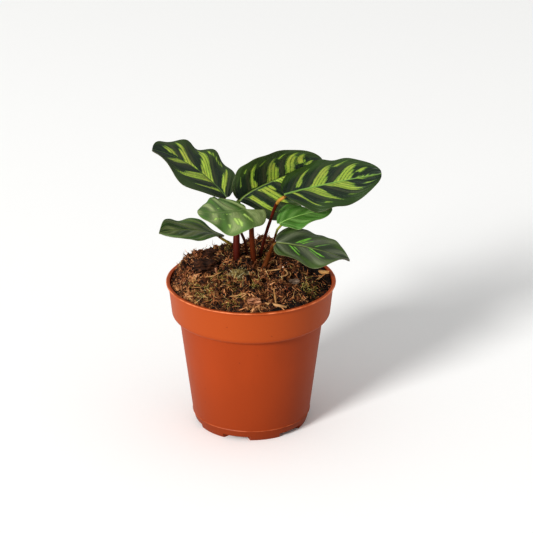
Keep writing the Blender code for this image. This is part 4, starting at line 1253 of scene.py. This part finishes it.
def stalk_path(leaf):
    """The stalk's own points, then a last bend that lays its tip along the underside of the blade."""
    place, forward, _, upper = blade_frame(leaf, np.zeros(1))
    under = CAD_BLADE_THICK / 2 + STALK_GAP + STALK_TIP_RADIUS
    bend = (place - forward * STALK_BEND - upper * (under + BEND_DROP))[0]
    tip = (place + forward * STALK_UNDER_BLADE - upper * (under - TIP_RISE))[0]
    return leaf.stalk + ((*bend, leaf.stalk[-1][3]), (*tip, STALK_TIP_RADIUS))


def path_curve(name, path):
    """A smooth curve through points of x, y, z and radius."""
    curve = bpy.data.curves.new(name, "CURVE")
    curve.dimensions = "3D"
    curve.resolution_u = 12
    spline = curve.splines.new("BEZIER")
    spline.bezier_points.add(len(path) - 1)
    for point, (x, y, z, radius) in zip(spline.bezier_points, path):
        point.co = (x * MM, y * MM, z * MM)
        point.radius = radius
        point.handle_left_type = point.handle_right_type = "AUTO"
    return add_object(name, curve)


# Colours from dark to light, grain in millimetres and stretch of each kind of coarse bit
BIT_LOOKS = {
    "dark_bark": (("#150c08", "#2e1a10", "#4a2b19", "#6a4126"), 1.6, (0.4, 1, 1)),
    "pale_bark": (("#2b140c", "#6f422a", "#b07c5a", "#dab08f"), 0.8, (0.22, 1, 1)),
    "split_wood": (("#8a5f36", "#ab7c4a", "#c4985f", "#d3ad78"), 1.0, (0.12, 1, 1)),
    "grey_wood": (("#2b211b", "#655245", "#a08a76", "#cfbaa2"), 0.7, (0.12, 1, 1)),
    "moss": (("#332413", "#5c4826", "#8b7c4c", "#b5a878"), 1.0, (1, 1, 1)),
}

# How broken the surface of each kind is
ROUGHNESS = {"moss": 2.0, "pale_bark": 2.4, "dark_bark": 1.8, "grey_wood": 1.7, "split_wood": 1.0}
ROUNDNESS = {"moss": 0.8, "dark_bark": 0.3}     # share of the way from a block to an egg
USUAL_ROUNDNESS = 0.15
CHIP_CUTS = 11
CHIP_LEAST = 0.72                               # how far in a block's corners may lie
CHIP_RELIEF = 1.6                               # height of the broken surface against the bit's thinnest side
CHIP_GRAIN = ((1.6, 0.12), (0.6, 0.06))         # grain and height of each of its two sizes
ALONG_GRAIN = 0.35
CHIP_CREASE = 45


def chip_place(chip):
    x, y = chip.place
    height = soil_height(x, y) + chip.size[2] * (0.5 - chip.sunk)
    heading = Matrix.Rotation(math.radians(chip.heading), 4, "Z")
    turn = heading @ Matrix.Rotation(math.radians(-chip.slope), 4, "Y")
    return Matrix.Translation((x, y, height)) @ turn


def make_chip(chip, material, *nodes):
    """A coarse bit with broken faces and split ends, in the place of its solid if it has one."""
    draw = random.Random(chip.name)
    form = bmesh.new()
    bmesh.ops.create_cube(form, size=1)
    for vertex in form.verts:
        vertex.co = Vector([value * draw.uniform(CHIP_LEAST, 1.0) for value in vertex.co])
    bmesh.ops.subdivide_edges(form, edges=form.edges[:], cuts=CHIP_CUTS, use_grid_fill=True)
    place = chip_place(chip)
    size = Vector(chip.size)
    seat = form.verts.layers.float_vector.new("bit_place")
    for vertex in form.verts:
        spot = Vector([value * length for value, length in zip(vertex.co, size)])
        spot = spot * max(1.0, 2 * vertex.co.length) ** -ROUNDNESS.get(chip.slot, USUAL_ROUNDNESS)
        grain = Vector((spot.x * ALONG_GRAIN, spot.y, spot.z))
        rough = sum(noise.noise(grain / fineness) * height for fineness, height in CHIP_GRAIN)
        vertex[seat] = spot
        broken = rough * min(size) * CHIP_RELIEF * ROUGHNESS[chip.slot]
        vertex.co = (place @ (spot + spot.normalized() * broken)) * MM
    bmesh.ops.recalc_face_normals(form, faces=form.faces)
    bit = add_object(f"{chip.name}_rough", mesh_from_bmesh(chip.name, form), material)
    bit.data.shade_smooth()
    bit.data.set_sharp_from_angle(angle=math.radians(CHIP_CREASE))
    return finish_piece(bit, chip.slot, *nodes)


ROOT_STEP = 0.6
ROOT_SIDES = 8
ROOT_FLUTE = 0.35
ROOT_LIFT = 0.3
ROOT_TIP = 0.7              # how thick a root's ends are against its middle
TINT_STEP = 0.37            # how far apart the tints of two roots made one after the other are


def make_rootlets(material):
    """Thicker roots and stems that lie on the mix, as one mesh of tubes."""
    form = bmesh.new()
    tree = stalk_tree()
    values = {"Step": ROOT_STEP * MM, "Sides": ROOT_SIDES, "Flute": ROOT_FLUTE * MM}
    tint = 0.0
    for points, radius in ROOTLETS:
        tint = (tint + TINT_STEP) % 1.0
        thin = [ROOT_TIP, *[1.0] * (len(points) - 2), ROOT_TIP]
        path = [(x, y, soil_height(x, y) + rise + ROOT_LIFT, radius * share)
                for (x, y, rise), share in zip(points, thin)]
        tube = grow(path_curve("rootlet", path), tree, values, "rootlet", None)
        mark_points(tube.data, "tint", "FLOAT", "value", np.full(len(tube.data.vertices), tint))
        form.from_mesh(tube.data)
        bpy.data.objects.remove(tube, do_unlink=True)
    roots = add_object("rootlets", mesh_from_bmesh("rootlets", form), material)
    roots.data.shade_smooth()
    return finish_piece(roots, "split_wood")


# Colours from dark to light
ROOT_COLOURS = ("#7a5230", "#a67c4c", "#b98f62", "#8a6a3e")
PEAT = ("#0d0502", "#241006", "#4e2a14", "#7d4b28", "#a8744a", "#6b5a2c")

# Crumbs: piece, share of the usual number, size against the usual one, cuts of each ball, seed and colours
CRUMBS = (
    ("peat_crumbs", 1.0, 1.0, 1, 11, PEAT), ("peat_clods", 0.1, 1.9, 2, 10, PEAT[1:4]),
    ("perlite", 0.005, 1.0, 2, 7, ("#d8d2c4", "#f2efe6")),
)


@dataclass(frozen=True)
class Strands:
    """One kind of strand on the mix. Length, radius and curl are millimetres."""
    name: str
    slot: str
    patch: str
    count: float | str      # on a square metre of its patch, or the setting that says how many
    length: float
    radius: float
    curl: float
    lift: float
    seed: int
    colours: tuple
    sides: int = 3


STRANDS = (
    Strands("brown_fibres", "potting_mix", "even", "fibres", 3.6, 0.17, 8, -0.03, 11,
            ("#1a0b04", "#482410", "#7d4825", "#ae7344", "#d8aa78")),
    Strands("bark_shreds", "potting_mix", "even", "shreds", 3.2, 0.46, 5, 0.1, 15,
            ("#0f0603", "#33180a", "#6f3f20", "#a76d42", "#d39e70"), 4),
    Strands("red_peat", "potting_mix", "red", 420000.0, 2.6, 0.22, 5, 0.0, 16,
            ("#6b3019", "#9f5a37", "#c48259", "#deae88")),
    Strands("pale_fibres", "split_wood", "even", 22000.0, 5.0, 0.18, 12, 0.1, 12,
            ("#a88050", "#ccae72", "#ead8a2", "#c2b062")),
    Strands("moss_strands", "moss", "moss", "moss", 2.4, 0.2, 7, 0.1, 13,
            ("#4a3f1c", "#80712f", "#ada04e", "#d8ca86")),
    Strands("tuft_strands", "moss", "tuft", 1500000.0, 3.2, 0.18, 9, 0.9, 14,
            ("#6d5c38", "#a8986a", "#dcd4b0", "#a8a468")),
)


def make_crumbs(settings):
    """Peat crumbs, the larger clods and a few white grains of perlite."""
    tree = crumb_tree()
    for name, share, scale, cuts, seed, colours in CRUMBS:
        skin = earthy_material(f"{name}_skin", colours, 1.6, True)
        values = {"Crumbs": settings.crumbs * share, "Size": settings.crumb_size * scale, "Seed": seed,
                  "Cuts": cuts, "Material": skin}
        finish_piece(grow(scatter_source(name), tree, values, name, skin), "potting_mix")


def make_strands(settings):
    """Fibres, bark shreds and moss."""
    tree = strand_tree()
    for kind in STRANDS:
        skin = earthy_material(kind.name.replace("_", "_dried_"), kind.colours, 1.5, True, 0.75, 0.1)
        count = getattr(settings, kind.count) if isinstance(kind.count, str) else kind.count
        values = {"Patch": kind.patch, "Strands": count, "Length": kind.length * MM,
                  "Radius": kind.radius * MM, "Curl": kind.curl * MM, "Lift": kind.lift,
                  "Sides": kind.sides, "Seed": kind.seed, "Material": skin}
        finish_piece(grow(scatter_source(kind.name), tree, values, kind.name, skin), kind.slot)


class PotSettings(bpy.types.PropertyGroup):
    colour: FloatVectorProperty(name="Plastic", description="Colour of the pot's plastic", subtype="COLOR",
                                default=linear("#933c13"), min=0, max=1)
    lip_wear: FloatProperty(name="Lip wear", description="Height of nicks along the lip, in millimetres",
                            default=0.1, min=0, max=1)


class LeafSettings(bpy.types.PropertyGroup):
    blade_thick: FloatProperty(name="Thickness", description="Blade thickness in millimetres",
                               default=0.6, min=0.3, max=0.8)
    pleat_scale: FloatProperty(name="Pleats", description="How deep the pleats between side veins are",
                               default=1.0, min=0, max=3, subtype="FACTOR")
    ripple: FloatProperty(name="Margin ripple", description="Height of small waves on a margin, in mm",
                          default=0.3, min=0, max=2)
    channel_depth: FloatProperty(name="Channel", description="Depth of the midrib's channel, in millimetres",
                                 default=0.35, min=0, max=0.6)
    flute: FloatProperty(name="Stalk flutes", description="Depth of the faint flutes along a stalk",
                         default=0.14 * MM, min=0, max=MM, subtype="DISTANCE", unit="LENGTH", precision=5)


class MixSettings(bpy.types.PropertyGroup):
    grain: FloatProperty(name="Grain", description="Size of the mottling in the mix, in millimetres",
                         default=2.2, min=0.5, max=10)
    fibres: FloatProperty(name="Fibres", description="Brown fibres for each square metre",
                          default=260000, min=0, max=500000)
    shreds: FloatProperty(name="Bark shreds", description="Shreds of bark for each square metre",
                          default=120000, min=0, max=300000)
    moss: FloatProperty(name="Moss", description="Moss strands for each square metre of moss",
                        default=750000, min=0, max=900000)
    crumbs: FloatProperty(name="Crumbs", description="Crumbs for each square metre",
                          default=190000, min=0, max=900000)
    crumb_size: FloatProperty(name="Crumb size", description="Usual radius of a crumb", default=0.5 * MM,
                              min=0, max=5 * MM, subtype="DISTANCE", unit="LENGTH", precision=5)


class StageSettings(bpy.types.PropertyGroup):
    floor: FloatVectorProperty(name="Floor", description="Colour of the floor", subtype="COLOR",
                               default=linear("#fafaf9"), min=0, max=1)
    key_power: FloatProperty(name="Key light", description="Power of the key light in watts",
                             default=380, min=0, max=5000)
    sky: FloatProperty(name="Sky", description="Strength of the soft light from all round",
                       default=0.5, min=0, max=5)


class CALATHEA_OT_pot(bpy.types.Operator):
    """Make the moulded plastic pot"""
    bl_idname = "calathea.pot"
    bl_label = "Pot"

    def execute(self, context):
        make_pot(context.scene.calathea_pot)
        return {"FINISHED"}


class CALATHEA_OT_leaves(bpy.types.Operator):
    """Make the seven leaf blades with their stripes, pleats and midribs"""
    bl_idname = "calathea.leaves"
    bl_label = "Leaf blades"

    def execute(self, context):
        looks = {**LOOKS, **OWN_LOOKS}
        materials = {name: leaf_material(f"living_{name}", look) for name, look in looks.items()}
        for leaf in LEAVES:
            make_blade(leaf, context.scene.calathea_leaf, materials.get(leaf.name, materials[leaf.slot]))
        return {"FINISHED"}


class CALATHEA_OT_stalks(bpy.types.Operator):
    """Make the seven leaf stalks, each up to its joint under the blade"""
    bl_idname = "calathea.stalks"
    bl_label = "Leaf stalks"

    def execute(self, context):
        tree = stalk_tree()
        flute = context.scene.calathea_leaf.flute
        for leaf in LEAVES:
            skin = stalk_material(f"stalk_skin_{leaf.name}", *STALK_LOOKS[leaf.name])
            name = f"petiole_{leaf.name}"
            values = {"Step": STALK_STEP * MM, "Sides": STALK_SIDES, "Flute": flute, "Material": skin}
            stalk = grow(path_curve(name, stalk_path(leaf)), tree, values, name, skin)
            finish_piece(stalk, "stalk_red", f"stalk_{leaf.name}")
        return {"FINISHED"}


class CALATHEA_OT_mix(bpy.types.Operator):
    """Make the heaped potting mix"""
    bl_idname = "calathea.mix"
    bl_label = "Potting mix"

    def execute(self, context):
        make_mix(context.scene.calathea_mix)
        return {"FINISHED"}


class CALATHEA_OT_litter(bpy.types.Operator):
    """Strew the crumbs, fibres, moss and rootlets over the mix"""
    bl_idname = "calathea.litter"
    bl_label = "Crumbs, fibres and moss"

    def execute(self, context):
        make_crumbs(context.scene.calathea_mix)
        make_strands(context.scene.calathea_mix)
        make_rootlets(earthy_material("woody_root", ROOT_COLOURS, 1.2, True, 0.75, 0.2))
        return {"FINISHED"}


class CALATHEA_OT_bits(bpy.types.Operator):
    """Make the coarse bits of bark, wood and moss that lie in the mix"""
    bl_idname = "calathea.bits"
    bl_label = "Bark and wood bits"

    def execute(self, context):
        materials = {slot: bark_material(f"broken_{slot}", *look) for slot, look in BIT_LOOKS.items()}
        for chip in CHIPS:
            make_chip(chip, materials[chip.slot], chip.name)
        for chip in LOOSE_BITS:
            make_chip(chip, materials[chip.slot])
        return {"FINISHED"}


class CALATHEA_OT_stage(bpy.types.Operator):
    """Set the plain floor, the soft studio light and the camera"""
    bl_idname = "calathea.stage"
    bl_label = "Stage"

    def execute(self, context):
        scene = context.scene
        make_floor(scene.calathea_stage)
        set_light(scene, scene.calathea_stage)
        scene.camera = make_camera()
        return {"FINISHED"}


class CALATHEA_PT_sidebar(bpy.types.Panel):
    """Lists the pieces and what can be changed on them"""
    bl_idname = "CALATHEA_PT_sidebar"
    bl_label = "Potted calathea"
    bl_space_type = "VIEW_3D"
    bl_region_type = "UI"
    bl_category = "Calathea"

    def draw(self, context):
        for label, settings, operators in GROUPS:
            box = self.layout.box()
            box.label(text=label)
            group = getattr(context.scene, settings)
            for name in group.bl_rna.properties.keys():
                if name not in ("name", "rna_type"):
                    box.prop(group, name)
            for operator in operators:
                box.operator(operator.bl_idname)


GROUPS = (
    ("Pot", "calathea_pot", (CALATHEA_OT_pot,)),
    ("Leaves", "calathea_leaf", (CALATHEA_OT_leaves, CALATHEA_OT_stalks)),
    ("Potting mix", "calathea_mix", (CALATHEA_OT_mix, CALATHEA_OT_litter, CALATHEA_OT_bits)),
    ("Stage", "calathea_stage", (CALATHEA_OT_stage,)),
)
SETTINGS = {"calathea_pot": PotSettings, "calathea_leaf": LeafSettings, "calathea_mix": MixSettings,
            "calathea_stage": StageSettings}
CLASSES = (*SETTINGS.values(), *(operator for group in GROUPS for operator in group[2]), CALATHEA_PT_sidebar)

# Camera: a long lens 1.5 m from the rim, looking 22.9 degrees down
PICTURE_SIDE = 533
LOOK_DOWN = 22.9
DISTANCE = 1500.0
FOCAL_PIXELS = 2359.0
RIM_SHIFT = (-15.5, 12.9)   # pixels from the picture's middle to the rim's middle, left and up
SENSOR = 36
KEY_PLACE = (-3.5, -4.5, 2.9)       # metres
KEY_TARGET = (0, 0, 0.1)
KEY_SIZE = 1.8
KEY_COLOUR = (1.0, 0.995, 0.98)
FLOOR_HALF = 6
FLECK = 3.0                 # millimetres, the faint fleck of the card


def make_floor(settings):
    """A floor of matt white card, with a faint fleck that keeps it from looking like a screen."""
    form = bmesh.new()
    bmesh.ops.create_grid(form, x_segments=8, y_segments=8, size=FLOOR_HALF)
    card, node, shader = new_material("matt_white_card")
    place = node("TexCoord").outputs["Object"]
    fleck = node("TexNoise", {"Vector": place, "Scale": 1 / (FLECK * MM), "Detail": 2.0})
    low = toned(settings.floor, (0.985, 0.985, 0.985))
    tone = node("Mix", (fleck, low, (*settings.floor, 1.0)), data_type="RGBA")
    feed(shader, {"Base Color": tone, "Roughness": 0.9})
    add_object("floor", mesh_from_bmesh("floor", form), card)


def set_light(scene, settings):
    """One large soft light from the upper left and an even bright room."""
    world = bpy.data.worlds.new("bright_room")
    world.use_nodes = True
    feed(world.node_tree.nodes["Background"], {"Color": (1.0, 1.0, 1.0, 1.0), "Strength": settings.sky})
    scene.world = world
    light = bpy.data.lights.new("key", "AREA")
    light.shape = "DISK"
    light.size = KEY_SIZE
    light.energy = settings.key_power
    light.color = KEY_COLOUR
    lamp = add_object("key", light)
    lamp.location = KEY_PLACE
    lamp.rotation_mode = "QUATERNION"
    lamp.rotation_quaternion = (Vector(KEY_TARGET) - Vector(KEY_PLACE)).to_track_quat("-Z", "Y")
    scene.view_settings.view_transform = "Standard"
    scene.view_settings.look = "Medium High Contrast"


def make_camera():
    down = math.radians(LOOK_DOWN)
    forward = Vector((0, math.cos(down), -math.sin(down)))
    right = Vector((1, 0, 0))
    up = right.cross(forward)
    away = DISTANCE * MM
    place = Vector((0, 0, RIM_HEIGHT * MM)) - forward * away
    place += -right * (RIM_SHIFT[0] * away / FOCAL_PIXELS) + up * (RIM_SHIFT[1] * away / FOCAL_PIXELS)
    camera = bpy.data.cameras.new("camera")
    camera.sensor_width = SENSOR
    camera.lens = FOCAL_PIXELS / PICTURE_SIDE * SENSOR
    camera.clip_start = 0.1
    holder = add_object("camera", camera)
    holder.matrix_world = Matrix.Translation(place) @ Matrix((right, up, -forward)).transposed().to_4x4()
    return holder


def register():
    for item in CLASSES:
        bpy.utils.register_class(item)
    for name, settings in SETTINGS.items():
        setattr(bpy.types.Scene, name, PointerProperty(type=settings))


def unregister():
    for name in SETTINGS:
        delattr(bpy.types.Scene, name)
    for item in reversed(CLASSES):
        bpy.utils.unregister_class(item)


def main():
    register()
    for _, _, operators in GROUPS:
        for operator in operators:
            group, name = operator.bl_idname.split(".")
            getattr(getattr(bpy.ops, group), name)()


if __name__ == "__main__":
    main()
